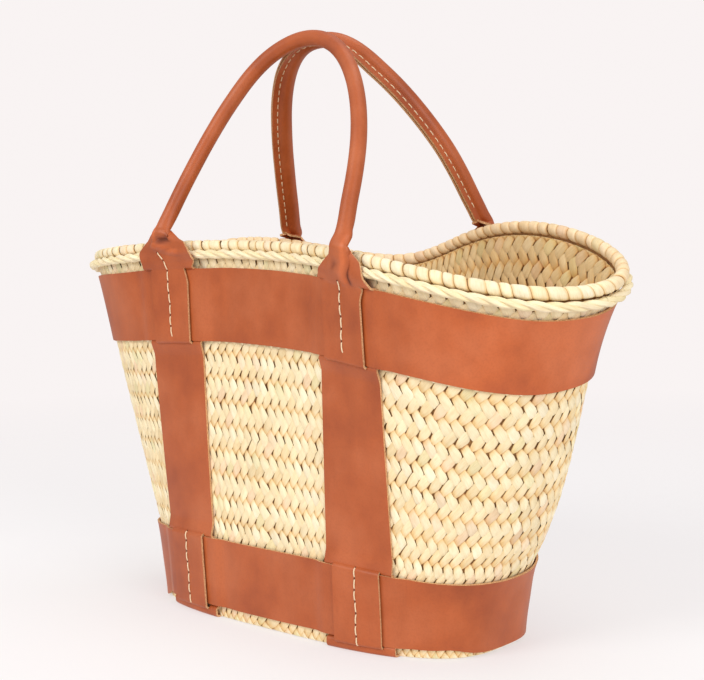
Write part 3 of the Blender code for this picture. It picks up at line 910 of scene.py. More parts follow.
    def wall_points(self, angle: np.ndarray, level: np.ndarray, lift: np.ndarray, inside: bool) -> np.ndarray:
        """Turn angle, level and height into points, rounding the wall's foot under.

        Args:
            angle: places round the basket.
            level: heights along the wall.
            lift: heights over the face.
            inside: whether the face is the one inside.

        Returns:
            The points.
        """
        form = self.form
        corner = form.base_corner if inside else self.foot_corner
        start = (form.underside if inside else self.sole) + corner
        turn = np.clip((start - level) / corner, 0.0, 0.5 * math.pi)
        past = np.maximum((start - level) / corner - 0.5 * math.pi, 0.0) * corner
        inset = corner * (1.0 - np.cos(turn)) + past
        low = level < start
        safe = np.where(low, start - corner * np.sin(turn), level)
        face = form.wall if inside else 0.0
        side = -1.0 if inside else 1.0
        out = -face + side * lift
        spots = form.skin(angle, safe, out - np.where(low, inset, 0.0))
        sole = form.underside + form.wall if inside else self.sole
        under = sole - 0.45 * side * lift * (1.0 - np.cos(turn)) if not inside else sole + lift
        spots[..., 2] = np.where(low & (turn > 1.2), under, spots[..., 2])
        spots[..., 2] = np.maximum(spots[..., 2], under) if inside else spots[..., 2]
        return spots

    def weave_floor(self, name: str, inside: bool) -> bpy.types.Object:
        """Weave one face of the floor in oval rounds.

        Args:
            name: the piece's name.
            inside: whether it is the face inside the basket.

        Returns:
            The new piece.
        """
        form = self.form
        rounds = int(0.5 * form.base_width / (2.0 * self.row_height)) + 1
        inset = form.wall + 0.4 * form.base_corner if inside else self.foot_corner * 0.8
        parts, tints, uvs, bodies = [], [], [], []
        for index in range(rounds):
            start = inset + 2.0 * index * self.row_height
            reach = 0.5 * form.base_length - start
            breadth = 0.5 * form.base_width - start
            if breadth < -0.5 * self.row_height:
                continue
            perimeter = 4.0 * reach + 2.2 * max(breadth, 0.0)
            count = max(int(perimeter / self.row_height), 12)
            for lean, step, rise in ((Lean.FALLING, 0.0, 0.0), (Lean.RISING, 0.5, 1.0 / self.leaf_ratio)):
                points, quads, edge_and_tuck_shading = self.template(lean)
                column = np.arange(count) + step
                place, climb, lift = self.cell_points(points, lean, column, np.full(count, rise), np.ones(count))
                depth = start + (1.0 - climb) * self.row_height
                if not inside:
                    depth = np.maximum(depth, inset + self.tip_margin)
                parts.append(self.floor_points(place / count * TAU, depth, lift, inside))
                tints.append(self.tints(lean, count))
                uvs.append(self.leaf_uvs(points, count))
                bodies.append(np.tile(edge_and_tuck_shading, (count, 1)))
        faces = quads[:, ::-1] if not inside else quads
        piece = Workbench.cells(name, *(np.concatenate(part) for part in (parts, uvs, tints, bodies)), faces)
        piece.data.materials.append(self.finishes.inner_leaf if inside else self.finishes.leaf)
        return piece

    def floor_points(self, angle: np.ndarray, depth: np.ndarray, lift: np.ndarray, inside: bool) -> np.ndarray:
        """Turn angle and distance in from the foot into points of the floor."""
        form = self.form
        rounding = 2.0 / form.base_squareness
        reach = np.maximum(0.5 * form.base_length - depth, 0.0)
        breadth = np.maximum(0.5 * form.base_width - depth, 0.0)
        x = reach * signed_power(np.cos(angle), rounding) + form.shift[0]
        y = breadth * signed_power(np.sin(angle), rounding) + form.shift[1]
        z = form.underside + form.wall + lift if inside else self.sole - 0.45 * lift
        return np.stack([x, y, z], axis=-1)

    def backing(self) -> bpy.types.Object:
        """Build a thin closed vessel between the plait's two faces, coloured dark brown as painted shade that shows
        in the gaps between the leaves.
        """
        form = self.form
        columns = 240
        angle = np.linspace(0.0, TAU, columns, endpoint=False)
        profile = []
        corner = self.foot_corner
        for step in range(6):
            turn = 0.5 * math.pi * step / 5.0
            level = self.sole + corner * (1.0 - math.cos(turn))
            profile.append((level, -corner * (1.0 - math.sin(turn)) - self.depth))
        wall_levels = np.linspace(form.underside + form.base_corner, form.wall_top + form.rim_roll, 24)[1:]
        profile += [(level, -self.depth) for level in wall_levels]
        inner = -form.wall + self.depth
        profile += [(level, inner) for level in wall_levels[::-1]]
        floor = form.underside + form.wall
        profile += [(floor + form.base_corner, inner), (floor, inner - form.base_corner)]
        rows = [form.skin(angle, np.full(columns, level), np.full(columns, out)) for level, out in profile]
        rows[0][:, 2] = self.sole + self.depth
        rows[-1][:, 2] = form.underside + form.wall - self.depth
        points = np.stack(rows)
        piece = Workbench.grid("plait_depth", len(profile), columns + 1)
        closed = np.concatenate([points, points[:, :1]], axis=1)
        Workbench.place(piece, closed.reshape(-1, 3))
        Workbench.hold(piece)
        bpy.ops.object.mode_set(mode="EDIT")
        bpy.ops.mesh.select_all(action="SELECT")
        bpy.ops.mesh.remove_doubles(threshold=1e-6)
        bpy.ops.mesh.select_all(action="DESELECT")
        bpy.ops.mesh.select_non_manifold()
        bpy.ops.mesh.fill_holes(sides=0)
        bpy.ops.mesh.select_all(action="SELECT")
        bpy.ops.mesh.normals_make_consistent(inside=False)
        bpy.ops.object.mode_set(mode="OBJECT")
        piece.data.materials.append(self.finishes.depth)
        Workbench.smooth(piece, 50.0)
        return piece

    def make(self) -> list[bpy.types.Object]:
        """Build the whole body of the basket."""
        pieces = [self.backing()]
        pieces.append(self.weave_wall("plait_outside", False))
        pieces.append(self.weave_wall("plait_inside", True))
        pieces.append(self.weave_floor("floor_outside", False))
        pieces.append(self.weave_floor("floor_inside", True))
        for piece in pieces:
            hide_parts("woven_body")
            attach(piece, "basket")
        return pieces


@dataclass
class RimRolls:
    """The leaf-wrapped roll along the mouth and the twisted roll sewn under it."""

    form: BasketForm
    finishes: Finishes
    plait: Plait
    seed: int = 11
    wraps: int = 116
    wrap_overlap_share: float = 0.06
    wrap_puff: float = 0.85 * MM
    strands: int = 3
    strand_turn: float = 0.042
    strand_radius: float = 2.15 * MM

    def __post_init__(self) -> None:
        """Seed the random draws."""
        self.random = np.random.default_rng(self.seed)

    def line(self, level: float, outward: float) -> tuple[np.ndarray, ...]:
        """Measure one roll's middle line.

        Args:
            level: its height along the wall.
            outward: its distance out from the wall's face.

        Returns:
            Distance along, points, and the outward and upward directions there.
        """
        angle = np.linspace(0.0, TAU, 1441)
        points = self.form.skin(angle, np.full(angle.shape, level), np.full(angle.shape, outward))
        ahead = unit(np.roll(points[:-1], -1, axis=0) - np.roll(points[:-1], 1, axis=0))
        ahead = np.concatenate([ahead, ahead[:1]])
        out = self.form.normal(angle, np.full(angle.shape, level))
        out = unit(out - ahead * (out * ahead).sum(axis=1, keepdims=True))
        up = np.cross(out, ahead)
        length = np.concatenate([[0.0], np.cumsum(np.linalg.norm(np.diff(points, axis=0), axis=1))])
        return length, points, out, up

    @staticmethod
    def read(place: np.ndarray, length: np.ndarray, values: np.ndarray) -> np.ndarray:
        """Read points or directions at distances along a closed line."""
        spot = np.mod(place, length[-1])
        return np.stack([np.interp(spot, length, values[:, axis]) for axis in range(3)], axis=-1)

    def wrapped_roll(self) -> bpy.types.Object:
        """Wrap leaf strips round the mouth's roll, each lapping the last."""
        form = self.form
        length, points, out, up = self.line(form.rim_height - form.rim_roll, -0.5 * form.wall)
        turns, widths = 19, 6
        strip = Workbench.grid("wrap_template", turns, widths)
        quads = np.array([list(face.vertices) for face in strip.data.polygons])
        Workbench.drop(strip)
        pitch = length[-1] / self.wraps
        sizes = 1.0 + self.random.normal(0.0, 0.16, self.wraps)
        starts = np.concatenate([[0.0], np.cumsum(sizes)])[:-1] * length[-1] / sizes.sum()
        wide = sizes * length[-1] / sizes.sum() * (1.0 + self.wrap_overlap_share)
        sweep = np.linspace(0.0, 1.0, turns)
        across = np.linspace(0.0, 1.0, widths)
        phi = -0.5 * math.pi + TAU * sweep
        slant = pitch * (0.95 + self.random.normal(0.0, 0.10, self.wraps))
        place = starts[:, None, None] + wide[:, None, None] * across[None, None, :]
        place = place - slant[:, None, None] * sweep[None, :, None]
        puff = (1.0 - (2.0 * across - 1.0) ** 2) ** 0.5
        lift = self.wrap_puff * puff - 0.55 * MM - 0.35 * MM * (across < 0.01) + 0.15 * MM * across
        lift = lift[None, None, :] * (1.0 + self.random.normal(0.0, 0.18, (self.wraps, 1, 1)))
        radius = form.rim_roll - 0.25 * MM + lift + 0.0 * place
        centre = self.read(place, length, points)
        ring = np.cos(phi)[None, :, None, None] * self.read(place, length, out)
        ring = ring + np.sin(phi)[None, :, None, None] * self.read(place, length, up)
        spots = centre + unit(ring) * radius[..., None]
        uv_across, uv_along = np.meshgrid(across, sweep * 3.0)
        uvs = np.stack([uv_across, uv_along], axis=-1).reshape(1, -1, 2)
        uvs = uvs + self.random.uniform(0.0, 60.0, (self.wraps, 1, 2))
        tints = self.plait.tints(Lean.FALLING, self.wraps)
        tints[:, :3] = tints[:, :3] ** 0.92
        # Painted shade: wraps on the back of the rim are made darker and warmer, standing for the shade they lie in.
        behind = ease((spots.reshape(self.wraps, -1, 3).mean(axis=1)[:, 1] + 0.03) / 0.06)
        tints[:, :3] *= 1.0 - behind[:, None] * np.array([[0.05, 0.15, 0.22]])
        # The wraps darken towards their edges, where each laps the last: partly the leaf's edge colour, partly
        # painted shade.
        body = np.tile(np.minimum(3.2 * np.minimum(across, 1.0 - across), 1.0), (self.wraps, turns))
        piece = Workbench.cells("rim_wraps", spots.reshape(self.wraps, -1, 3), uvs, tints, body, quads)
        piece.data.materials.append(self.finishes.rim_leaf)
        return piece

    def twisted_roll(self) -> bpy.types.Object:
        """Twist long leaf strands into the roll under the rim."""
        form = self.form
        level = form.rim_height - form.rim_roll - form.under_roll_drop
        length, points, out, up = self.line(level, form.clearance + form.under_roll)
        turns = round(length[-1] / self.strand_turn)
        steps = turns * 14
        sides = 9
        place = np.linspace(0.0, length[-1], steps + 1)
        sweep = np.linspace(0.0, TAU, sides)
        ribbon = Workbench.grid("strand_template", steps + 1, sides)
        quads = np.array([list(face.vertices) for face in ribbon.data.polygons])
        Workbench.drop(ribbon)
        centre = self.read(place, length, points)
        out_here = unit(self.read(place, length, out))
        up_here = unit(self.read(place, length, up))
        copies, uvs = [], []
        for index in range(self.strands):
            turn = -TAU * turns * place / length[-1] + TAU * index / self.strands
            away = np.cos(turn)[:, None] * out_here + np.sin(turn)[:, None] * up_here
            middle = centre + away * (form.under_roll - self.strand_radius)
            wobble = 1.0 + 0.07 * np.sin(place * 260.0 + index * 2.1) + 0.05 * np.sin(place * 97.0 + index)
            ring = np.cos(sweep)[None, :, None] * out_here[:, None] + np.sin(sweep)[None, :, None] * up_here[:, None]
            copies.append(middle[:, None] + ring * (self.strand_radius * wobble)[:, None, None])
            uv_across, uv_along = np.meshgrid(sweep / TAU, place * 90.0)
            uvs.append(np.stack([uv_across * 1.5, uv_along], axis=-1).reshape(-1, 2) + 11.0 * index)
        spots = np.stack(copies).reshape(self.strands, -1, 3)
        tints = np.array([tone(250, 238, 204), tone(244, 230, 190), tone(247, 232, 200)])
        body = np.ones(spots.shape[:2])
        piece = Workbench.cells("under_rim_strands", spots, np.stack(uvs), tints, body, quads)
        piece.data.materials.append(self.finishes.rim_leaf)
        return piece

    def make(self) -> list[bpy.types.Object]:
        """Build both rolls."""
        wraps = self.wrapped_roll()
        strands = self.twisted_roll()
        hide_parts("rim_roll")
        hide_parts("under_roll")
        for piece in (wraps, strands):
            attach(piece, "basket")
        return [wraps, strands]


@dataclass
class LeatherWork:
    """Ways to cut and lay leather that the bands and the straps share."""

    form: BasketForm
    finishes: Finishes
    thickness: float = 0.0018

    def sheet(
        self,
        name: str,
        rows: np.ndarray,
        facing: np.ndarray,
        cut: np.ndarray | None = None,
        closed: bool = False,
        painted_shading_rows: np.ndarray | None = None,
    ) -> bpy.types.Object:
        """Lay a leather sheet by its inner face, with raw pale edges.

        Args:
            name: the piece's name.
            rows: rows by columns by three, the inner face's points.
            facing: the way that the leather's good side faces in the first row.
            cut: rows by columns of cells that are left open.
            closed: whether the last row joins the first.
            painted_shading_rows: rows by columns of painted light, from -1 for a painted highlight on a ridge to 1
                for painted shade in a fold.

        Returns:
            The new piece.
        """
        middle = rows.shape[1] // 2
        across = rows[0, middle + 1] - rows[0, middle - 1]
        if np.dot(np.cross(across, rows[1, middle] - rows[0, middle]), facing) < 0.0:
            rows = rows[:, ::-1]
            cut = cut[:, ::-1] if cut is not None else None
            painted_shading_rows = painted_shading_rows[:, ::-1] if painted_shading_rows is not None else None
        if closed:
            rows = np.concatenate([rows, rows[:1]])
            painted_shading_rows = np.concatenate([painted_shading_rows, painted_shading_rows[:1]]) if painted_shading_rows is not None else None
        count, columns = rows.shape[:2]
        piece = Workbench.grid(name, count, columns)
        Workbench.place(piece, rows.reshape(-1, 3))
        if painted_shading_rows is not None:
            piece.data.attributes.new("crease", "FLOAT", "POINT").data.foreach_set("value", painted_shading_rows.reshape(-1))
        Workbench.hold(piece)
        bpy.ops.object.mode_set(mode="EDIT")
        bpy.ops.mesh.select_all(action="SELECT")
        if closed:
            bpy.ops.mesh.remove_doubles(threshold=1e-6)
        bpy.ops.mesh.select_all(action="DESELECT")
        bpy.ops.object.mode_set(mode="OBJECT")
        if cut is not None:
            for face, gone in zip(piece.data.polygons, cut.reshape(-1)):
                face.select = bool(gone)
            bpy.ops.object.mode_set(mode="EDIT")
            bpy.ops.mesh.select_mode(type="FACE")
            bpy.ops.mesh.delete(type="FACE")
            bpy.ops.object.mode_set(mode="OBJECT")
        solid = piece.modifiers.new("thickness", "SOLIDIFY")
        solid.thickness = self.thickness
        solid.offset = 1.0
        solid.use_even_offset = closed
        solid.material_offset_rim = 1
        piece.data.materials.append(self.finishes.leather)
        piece.data.materials.append(self.finishes.edge)
        Workbench.apply_all(piece)
        Workbench.smooth(piece, 42.0)
        return piece

    def stitch_runs(self, line: np.ndarray, up: np.ndarray, pitch: float, share: float, rise: float):
        """Cut a line on the leather into stitches.

        Args:
            line: dense points on the leather's face.
            up: directions out of the leather there.
            pitch: distance from one stitch to the next.
            share: how much of it the thread covers.
            rise: how far the thread stands off the leather in mid stitch.

        Returns:
            The points of each stitch, and the points of each needle hole.
        """
        length = np.concatenate([[0.0], np.cumsum(np.linalg.norm(np.diff(line, axis=0), axis=1))])
        count = int(length[-1] / pitch)
        stitches, holes = [], []
        for index in range(count):
            place = (index + np.linspace(0.5 - 0.5 * share, 0.5 + 0.5 * share, 7)) * pitch
            spot = np.stack([np.interp(place, length, line[:, axis]) for axis in range(3)], axis=-1)
            way = unit(np.stack([np.interp(place, length, up[:, axis]) for axis in range(3)], axis=-1))
            arch = np.array([-1.0, 0.35, 0.85, 1.0, 0.85, 0.35, -1.0])
            stitches.append(spot + way * (rise * arch)[:, None])
            gap = np.array([(index - 0.10) * pitch, (index + 0.10) * pitch])
            dots = np.stack([np.interp(gap, length, line[:, axis]) for axis in range(3)], axis=-1)
            holes.append(dots)
        return stitches, holes


@dataclass
class Bands(LeatherWork):
    """The two leather bands, which ride up over the straps' narrow margins."""

    columns: int = 420
    height_steps: int = 15
    wave: float = 0.7 * MM

    def offset(self, x: np.ndarray, level: np.ndarray) -> np.ndarray:
        """Return how far a band's inner face lies off the wall."""
        form = self.form
        gap = np.abs(np.abs(x) - form.strap_x(level)) - 0.5 * form.strap_width - 2.0 * form.clearance
        riding = 1.0 - ease(gap / form.band_rise_width)
        return 2.0 * form.clearance + form.leather * riding

    def turns(self) -> np.ndarray:
        """Return angles that part the wall evenly, closer where the bands ride up."""
        form = self.form
        even = np.linspace(0.0, TAU, self.columns, endpoint=False)
        points = form.ring(np.append(even, TAU), np.full(self.columns + 1, 0.6 * form.rim_height))
        length = np.concatenate([[0.0], np.cumsum(np.linalg.norm(np.diff(points, axis=0), axis=1))])
        return np.interp(np.arange(self.columns) * length[-1] / self.columns, length, np.append(even, TAU))

    def band(self, name: str, foot: float, phase: float) -> bpy.types.Object:
        """Build one band.

        Args:
            name: its name, which is also the frame's name for it.
            foot: the level of its lower edge.
            phase: what sets its own slight waves apart from the other band's.

        Returns:
            The new piece.
        """
        form = self.form
        angle = self.turns()[:, None] + np.zeros(self.height_steps + 1)[None]
        share = np.linspace(0.0, 1.0, self.height_steps + 1)[None]
        level = foot + form.band_height * share + 0.0 * angle
        x = form.ring(angle, level)[..., 0] - form.shift[0]
        off = self.offset(x, level)
        free = ease((np.abs(np.abs(x) - form.strap_x(level)) - 0.5 * form.strap_width) / (2.5 * form.band_rise_width))
        swell = 0.5 + 0.5 * np.sin(5.0 * angle + phase) * np.sin(9.0 * angle - phase + 3.0 * share)
        off = off + self.wave * swell * free
        edge = 0.8 * MM * free * np.sin(7.0 * angle + 2.0 * phase)
        level = level + edge * np.abs(2.0 * share - 1.0) * 0.6
        between = ease((form.strap_x(level) - np.abs(x)) / 0.020) * (np.sin(angle) < 0.0)
        level = level + 2.2 * MM * (1.0 - share) * between * (foot < form.band_height)
        first = np.where((np.cos(angle) > 0.0) & (np.sin(angle) < 0.0), 0.86, 0.66)
        ends = ease((np.abs(np.cos(angle)) - first) / 0.14)
        drop = np.where(np.cos(angle) > 0.0, 5.2, 6.8) * MM
        level = level - drop * (1.0 - share) * ends * (foot < form.band_height)
        facing = form.normal(angle[0], level[0])[0]
        # Painted light: the upper band's front right end is made paler, standing for the extra light that falls on it
        # from the right.
        painted_light_share = ease((x - 0.12) / 0.08) * ease((0.6 - np.sin(angle)) / 0.6) * (foot > form.band_height)
        rows = form.skin(angle, level, off)
        piece = self.sheet(name + "_leather", rows, facing, closed=True, painted_shading_rows=-0.42 * painted_light_share)
        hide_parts(name)
        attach(piece, "basket")
        return piece

    def make(self) -> list[bpy.types.Object]:
        """Build both bands."""
        upper = self.band("upper_band", self.form.upper_band_foot, 0.4)
        lower = self.band("lower_band", self.form.lower_band_foot, 2.1)
        return [upper, lower]


@dataclass(frozen=True)
class HandleArch:
    """One handle's arch and the way its leather gathers at each foot.

    The seam turns, in degrees, are read from the left foot over the top to the right one.
    The sways are places along the arch with how far it stands aside there along X.
    The spans of each foot say how much wider or narrower than evenly rolled the strip is left
    and right of its middle, by millimetres over the fold line.
    The folds of each foot are dents and ridges, in millimetres: height over the fold line
    and its spread, place across the strip and its spread, and depth, below zero for a ridge.
    The shades are laid out likewise: how much painted shade darkens the leather in a fold, or, below zero, how much
    painted highlight lightens it on a ridge.
    """

    name: str
    side: Side
    rise: float
    reach_share: float
    drift: float
    lean_power: float
    height_power: float
    width_power: float
    seam_turns: tuple
    sway_places: tuple
    sways: tuple
    gathers: tuple
    stitch_tops: tuple
    spans: tuple
    folds: tuple
    shades: tuple
    flange_start: float = 0.003
    flange_rise: float = 0.026


FRONT_ARCH = HandleArch(
    "front_handle", Side.FRONT, 0.1653, 0.3574, 0.0050, 0.97, 2.07, 2.00,
    seam_turns=(-34.0, -34.0, -32.0, -20.0, 4.0, 22.0, 32.0, 34.0, 30.0),
    sway_places=(0.0, 0.02, 0.07, 0.12, 0.18, 0.25, 0.31, 0.36, 0.50, 0.69, 0.78, 0.84, 0.89, 0.94, 0.98, 1.0),
    sways=(-5.2, -5.2, -2.3, 0.0, 1.0, 0.6, -1.2, -2.0, 0.0, 1.0, 1.8, 2.2, 2.0, 1.9, 5.2, 6.0),
    gathers=((-0.011, 0.010), (-0.026, 0.002)),
    stitch_tops=(-0.008, -0.020),
    spans=(
        (
            (-34.0, 1.0, 1.0), (-24.0, 0.97, 0.84), (-19.0, 0.96, 0.97), (-13.0, 0.99, 1.08), (-8.0, 0.94, 1.26),
            (-4.5, 0.92, 1.39), (-1.0, 0.88, 1.64), (2.5, 0.94, 1.50), (8.0, 0.96, 1.10), (13.0, 1.0, 1.0),
        ),
        (
            (-34.0, 1.0, 1.0), (-26.0, 0.92, 1.16), (-19.0, 0.90, 1.20), (-15.0, 1.03, 1.25), (-12.0, 1.20, 1.28),
            (-9.0, 1.30, 1.34), (-3.0, 1.26, 1.50), (1.0, 1.15, 1.85), (5.0, 1.18, 1.65), (10.0, 1.10, 1.30),
            (16.0, 1.0, 1.0),
        ),
    ),
    folds=(
        (
            (1.4, 3.0, 2.0, 9.0, 3.4), (0.2, 2.4, 10.0, 5.0, 1.4), (4.0, 4.5, -10.0, 3.0, -1.0),
            (-4.6, 1.7, -9.0, 6.0, -1.6), (-6.0, 1.6, 1.0, 7.0, -1.8), (-9.5, 1.8, 14.0, 8.0, -1.6),
        ),
        (
            (-10.0, 4.6, -4.0, 4.0, 1.4), (-8.0, 9.0, 5.0, 2.6, -0.8), (-20.0, 6.0, 7.0, 2.6, -0.8),
            (-4.5, 4.0, 14.5, 3.0, 1.6), (-11.5, 5.0, 13.5, 3.0, 1.8), (-18.5, 4.0, 12.0, 2.2, 1.4),
        ),
    ),
    shades=(
        (
            (0.4, 3.1, 3.0, 8.5, 1.0), (3.0, 2.6, 9.0, 4.0, 0.5), (6.0, 7.0, -9.0, 3.0, -0.7),
            (-4.2, 1.5, -9.0, 5.0, -0.8), (-5.6, 1.4, 1.0, 7.0, -0.9), (-9.0, 1.6, 14.0, 7.0, -0.7),
        ),
        (
            (-10.5, 4.6, -4.0, 3.6, 0.5), (-4.0, 13.0, 5.5, 2.0, -0.7), (-19.0, 5.0, 7.0, 2.2, -0.7),
            (-2.0, 4.0, 15.2, 2.6, 1.0), (-9.0, 5.0, 14.6, 2.6, 1.0), (-15.0, 5.0, 13.4, 2.4, 1.0),
            (-20.0, 3.4, 12.2, 1.8, 1.0),
        ),
    ),
)
BACK_ARCH = HandleArch(
    "back_handle", Side.BACK, 0.1581, 0.4100, -0.0004, 0.97, 1.08, 2.30,
    seam_turns=(-30.0, -34.0, -35.0, -24.0, 20.0, 27.0, 20.0, 15.0, 10.0),
    sway_places=(0.0, 0.02, 0.13, 0.20, 0.27, 0.32, 0.41, 0.50, 0.64, 0.70, 0.75, 0.79, 0.83, 0.88, 0.95, 1.0),
    sways=(-3.0, -2.0, 2.6, 3.6, 3.2, 2.2, 1.4, 0.0, -3.2, -0.8, 0.6, 1.0, -0.8, -3.8, -6.0, -6.0),
    gathers=((-0.018, 0.003), (-0.018, 0.003)),
    stitch_tops=(-0.012, -0.016),
    spans=(((-30.0, 1.0, 1.0), (15.0, 1.0, 1.0)), ((-30.0, 1.0, 1.0), (15.0, 1.0, 1.0))),
    folds=(((-6.0, 5.0, -6.0, 5.0, 1.6),), ((-8.0, 5.0, 5.0, 5.0, 1.6),)),
    shades=(((-6.0, 5.0, -6.0, 4.0, 0.5),), ((-8.0, 5.0, 5.0, 4.0, 0.5),)),
    flange_start=0.0,
    flange_rise=0.0015,
)


@dataclass
class StrapAndHandle(LeatherWork):
    """A long strip of leather: up one strap, rolled over as the handle, down the other."""

    arch: HandleArch = FRONT_ARCH
    tube_radius: float = 0.0064
    handle_width: float = 0.041
    upright: float = 0.010
    row_step: float = 0.0040
    fold_step: float = 0.0012
    flange_gap: float = 0.35 * MM
    roll_heading: float = math.radians(150.0)
    rope_lay: float = 0.022
    rope_strand: float = 0.0017
    overrun: float = 0.0016

    def columns(self) -> np.ndarray:
        """Return the places across the strip, with a narrow pair at each slit."""
        edge = 0.5 * self.form.strap_width
        slit_out = edge - self.form.strap_margin
        slit_in = slit_out - self.form.slit_width
        margin = np.linspace(edge, slit_out, 7)
        return np.concatenate([-margin, np.linspace(-slit_in, slit_in, 33), margin[::-1]])

    def neck_length(self) -> float:
        """Return the length in which the leather turns back to meet its other edge."""
        inner = self.tube_radius - self.thickness
        side = inner * math.sin(self.roll_heading)
        fall = self.roll_heading - 0.5 * math.pi
        return (side - self.flange_gap) * fall / (1.0 - math.cos(fall))

    def heading_at(self, places: np.ndarray) -> np.ndarray:
        """Return the way the rolled leather heads at distances from the strip's middle.

        It turns round the core past a right angle, and back to run along the flange.
        """
        arc = (self.tube_radius - self.thickness) * self.roll_heading
        past = np.clip((places - arc) / self.neck_length(), 0.0, 1.0)
        turned = self.roll_heading * np.clip(places / arc, 0.0, 1.0)
        return turned + (0.5 * math.pi - self.roll_heading) * past

    def profile(self, curl: float) -> tuple[np.ndarray, np.ndarray, np.ndarray]:
        """Return places from the strip's middle, and how far across and inward they lie when rolled."""
        fine = np.linspace(0.0, 0.5 * self.form.strap_width, 401)
        heading = self.heading_at(fine) * curl
        step = fine[1] - fine[0]
        mid = 0.5 * (heading[1:] + heading[:-1])
        across = np.concatenate([[0.0], np.cumsum(np.cos(mid) * step)])
        toward = np.concatenate([[0.0], np.cumsum(np.sin(mid) * step)])
        return fine, across, toward

    def slimming(self, curl: float) -> float:
        """Return what share of the strap's width the strip has where it is rolled so far."""
        return 1.0 + (self.handle_width / self.form.strap_width - 1.0) * curl

    def __post_init__(self) -> None:
        """Measure how wide the strip looks for each amount of rolling."""
        self.curls = np.linspace(0.0, 1.0, 81)
        halves = []
        for curl in self.curls:
            fine, across, _ = self.profile(curl)
            halves.append(across[fine <= 0.5 * self.form.strap_width * self.slimming(curl)].max())
        self.halves = np.minimum.accumulate(np.array(halves))

    def curl(self, height: float, hand: int) -> float:
        """Return how far the leather is rolled at a height over the fold, from 0 to 1.

        It is rolled so that its visible width narrows evenly.
        """
        low, high = self.arch.gathers[0 if hand < 0 else 1]
        share = min(max((height - low) / (high - low), 0.0), 1.0)
        share = 0.6 * share + 0.4 * float(ease(np.array(share)))
        half = self.halves[0] + (self.halves[-1] - self.halves[0]) * share
        return float(np.interp(half, self.halves[::-1], self.curls[::-1]))

    def stand(self, curl: float) -> float:
        """Return how far the strip's inner face lies outward of the fold where it is rolled so far."""
        return -self.form.leather + (self.tube_radius - self.thickness + self.form.leather) * curl

    def section(self, height: float, hand: int) -> np.ndarray:
        """Return a cross-section: distance across and towards the seam, for each column.

        Args:
            height: how far over the fold it lies.
            hand: -1 for the left foot and 1 for the right one.

        Returns:
            Columns by two, with the strip's middle at the origin.
        """
        curl = self.curl(height, hand)
        fine, across, toward = self.profile(curl)
        room = self.stand(curl) + self.form.leather
        share = min(room / max(float(toward.max()), 1e-9), 1.0)
        share += (1.0 - share) * float(ease(np.array((height - self.arch.flange_start) / self.arch.flange_rise)))
        places = self.columns() * self.slimming(curl)
        size = np.abs(places)
        inward = np.interp(size, fine, toward) * share
        heights, *sides = (np.array(part) for part in zip(*self.arch.spans[0 if hand < 0 else 1]))
        wider = [float(np.interp(height / MM, heights, part)) for part in sides]
        aside = np.interp(size, fine, across) * np.where(places < 0.0, wider[0], wider[1])
        return np.stack([np.sign(places) * aside, inward], axis=-1)

    def sum_of(self, spots: tuple, height: float) -> np.ndarray:
        """Add up a foot's soft spots at a height over the fold.

        Args:
            spots: height and its spread, place across and its spread, and strength, in millimetres.
            height: how far over the fold the row lies.

        Returns:
            One value for each column.
        """
        columns = self.columns() / MM
        tall = height / MM
        total = np.zeros(len(columns))
        for rise, spread, place, breadth, strength in spots:
            here = strength * math.exp(-(((tall - rise) / spread) ** 2))
            total += here * np.exp(-(((columns - place) / breadth) ** 2))
        return total

    def dent(self, height: float, hand: int) -> np.ndarray:
        """Return how far each column is pushed in at a height over the fold."""
        return self.sum_of(self.arch.folds[0 if hand < 0 else 1], height) * MM

    def path(self) -> np.ndarray:
        """Return dense points along the handle's middle line, from its left foot."""
        arch = self.arch
        side = arch.side.value
        left, right = self.form.hinge_points(arch.side)
        centre, half = 0.5 * (left + right), 0.5 * (right - left)
        turn = math.pi * (1.0 - np.linspace(0.0, 1.0, 601))
        spread = signed_power(np.cos(turn), 2.0 / arch.width_power)
        height = np.maximum(np.sin(turn), 0.0) ** (2.0 / arch.height_power)
        upright = ease(arch.rise * height / self.upright)
        points = centre + half * spread[:, None]
        points[:, 0] += arch.drift * height
        points[:, 1] -= side * arch.reach_share * self.form.rim_width * height**arch.lean_power * upright
        points[:, 2] += arch.rise * height
        return points

    def swayed(self, places: np.ndarray) -> np.ndarray:
        """Return how far the handle stands aside along X at shares of the arch's turn."""
        fine = np.linspace(-0.1, 1.1, 601)
        drawn = np.interp(fine, self.arch.sway_places, np.array(self.arch.sways) * MM)
        kernel = np.hanning(31)
        smooth = np.convolve(np.pad(drawn, 15, mode="edge"), kernel / kernel.sum(), mode="valid")
        return np.interp(places, fine, smooth)

    def fold_frame(self) -> tuple[np.ndarray, np.ndarray]:
        """Return the fold line's direction and the level direction outward from it."""
        left, right = self.form.hinge_points(self.arch.side)
        along = unit(right - left)
        outward = unit(np.cross([0.0, 0.0, 1.0], along)) * self.arch.side.value
        return along, outward

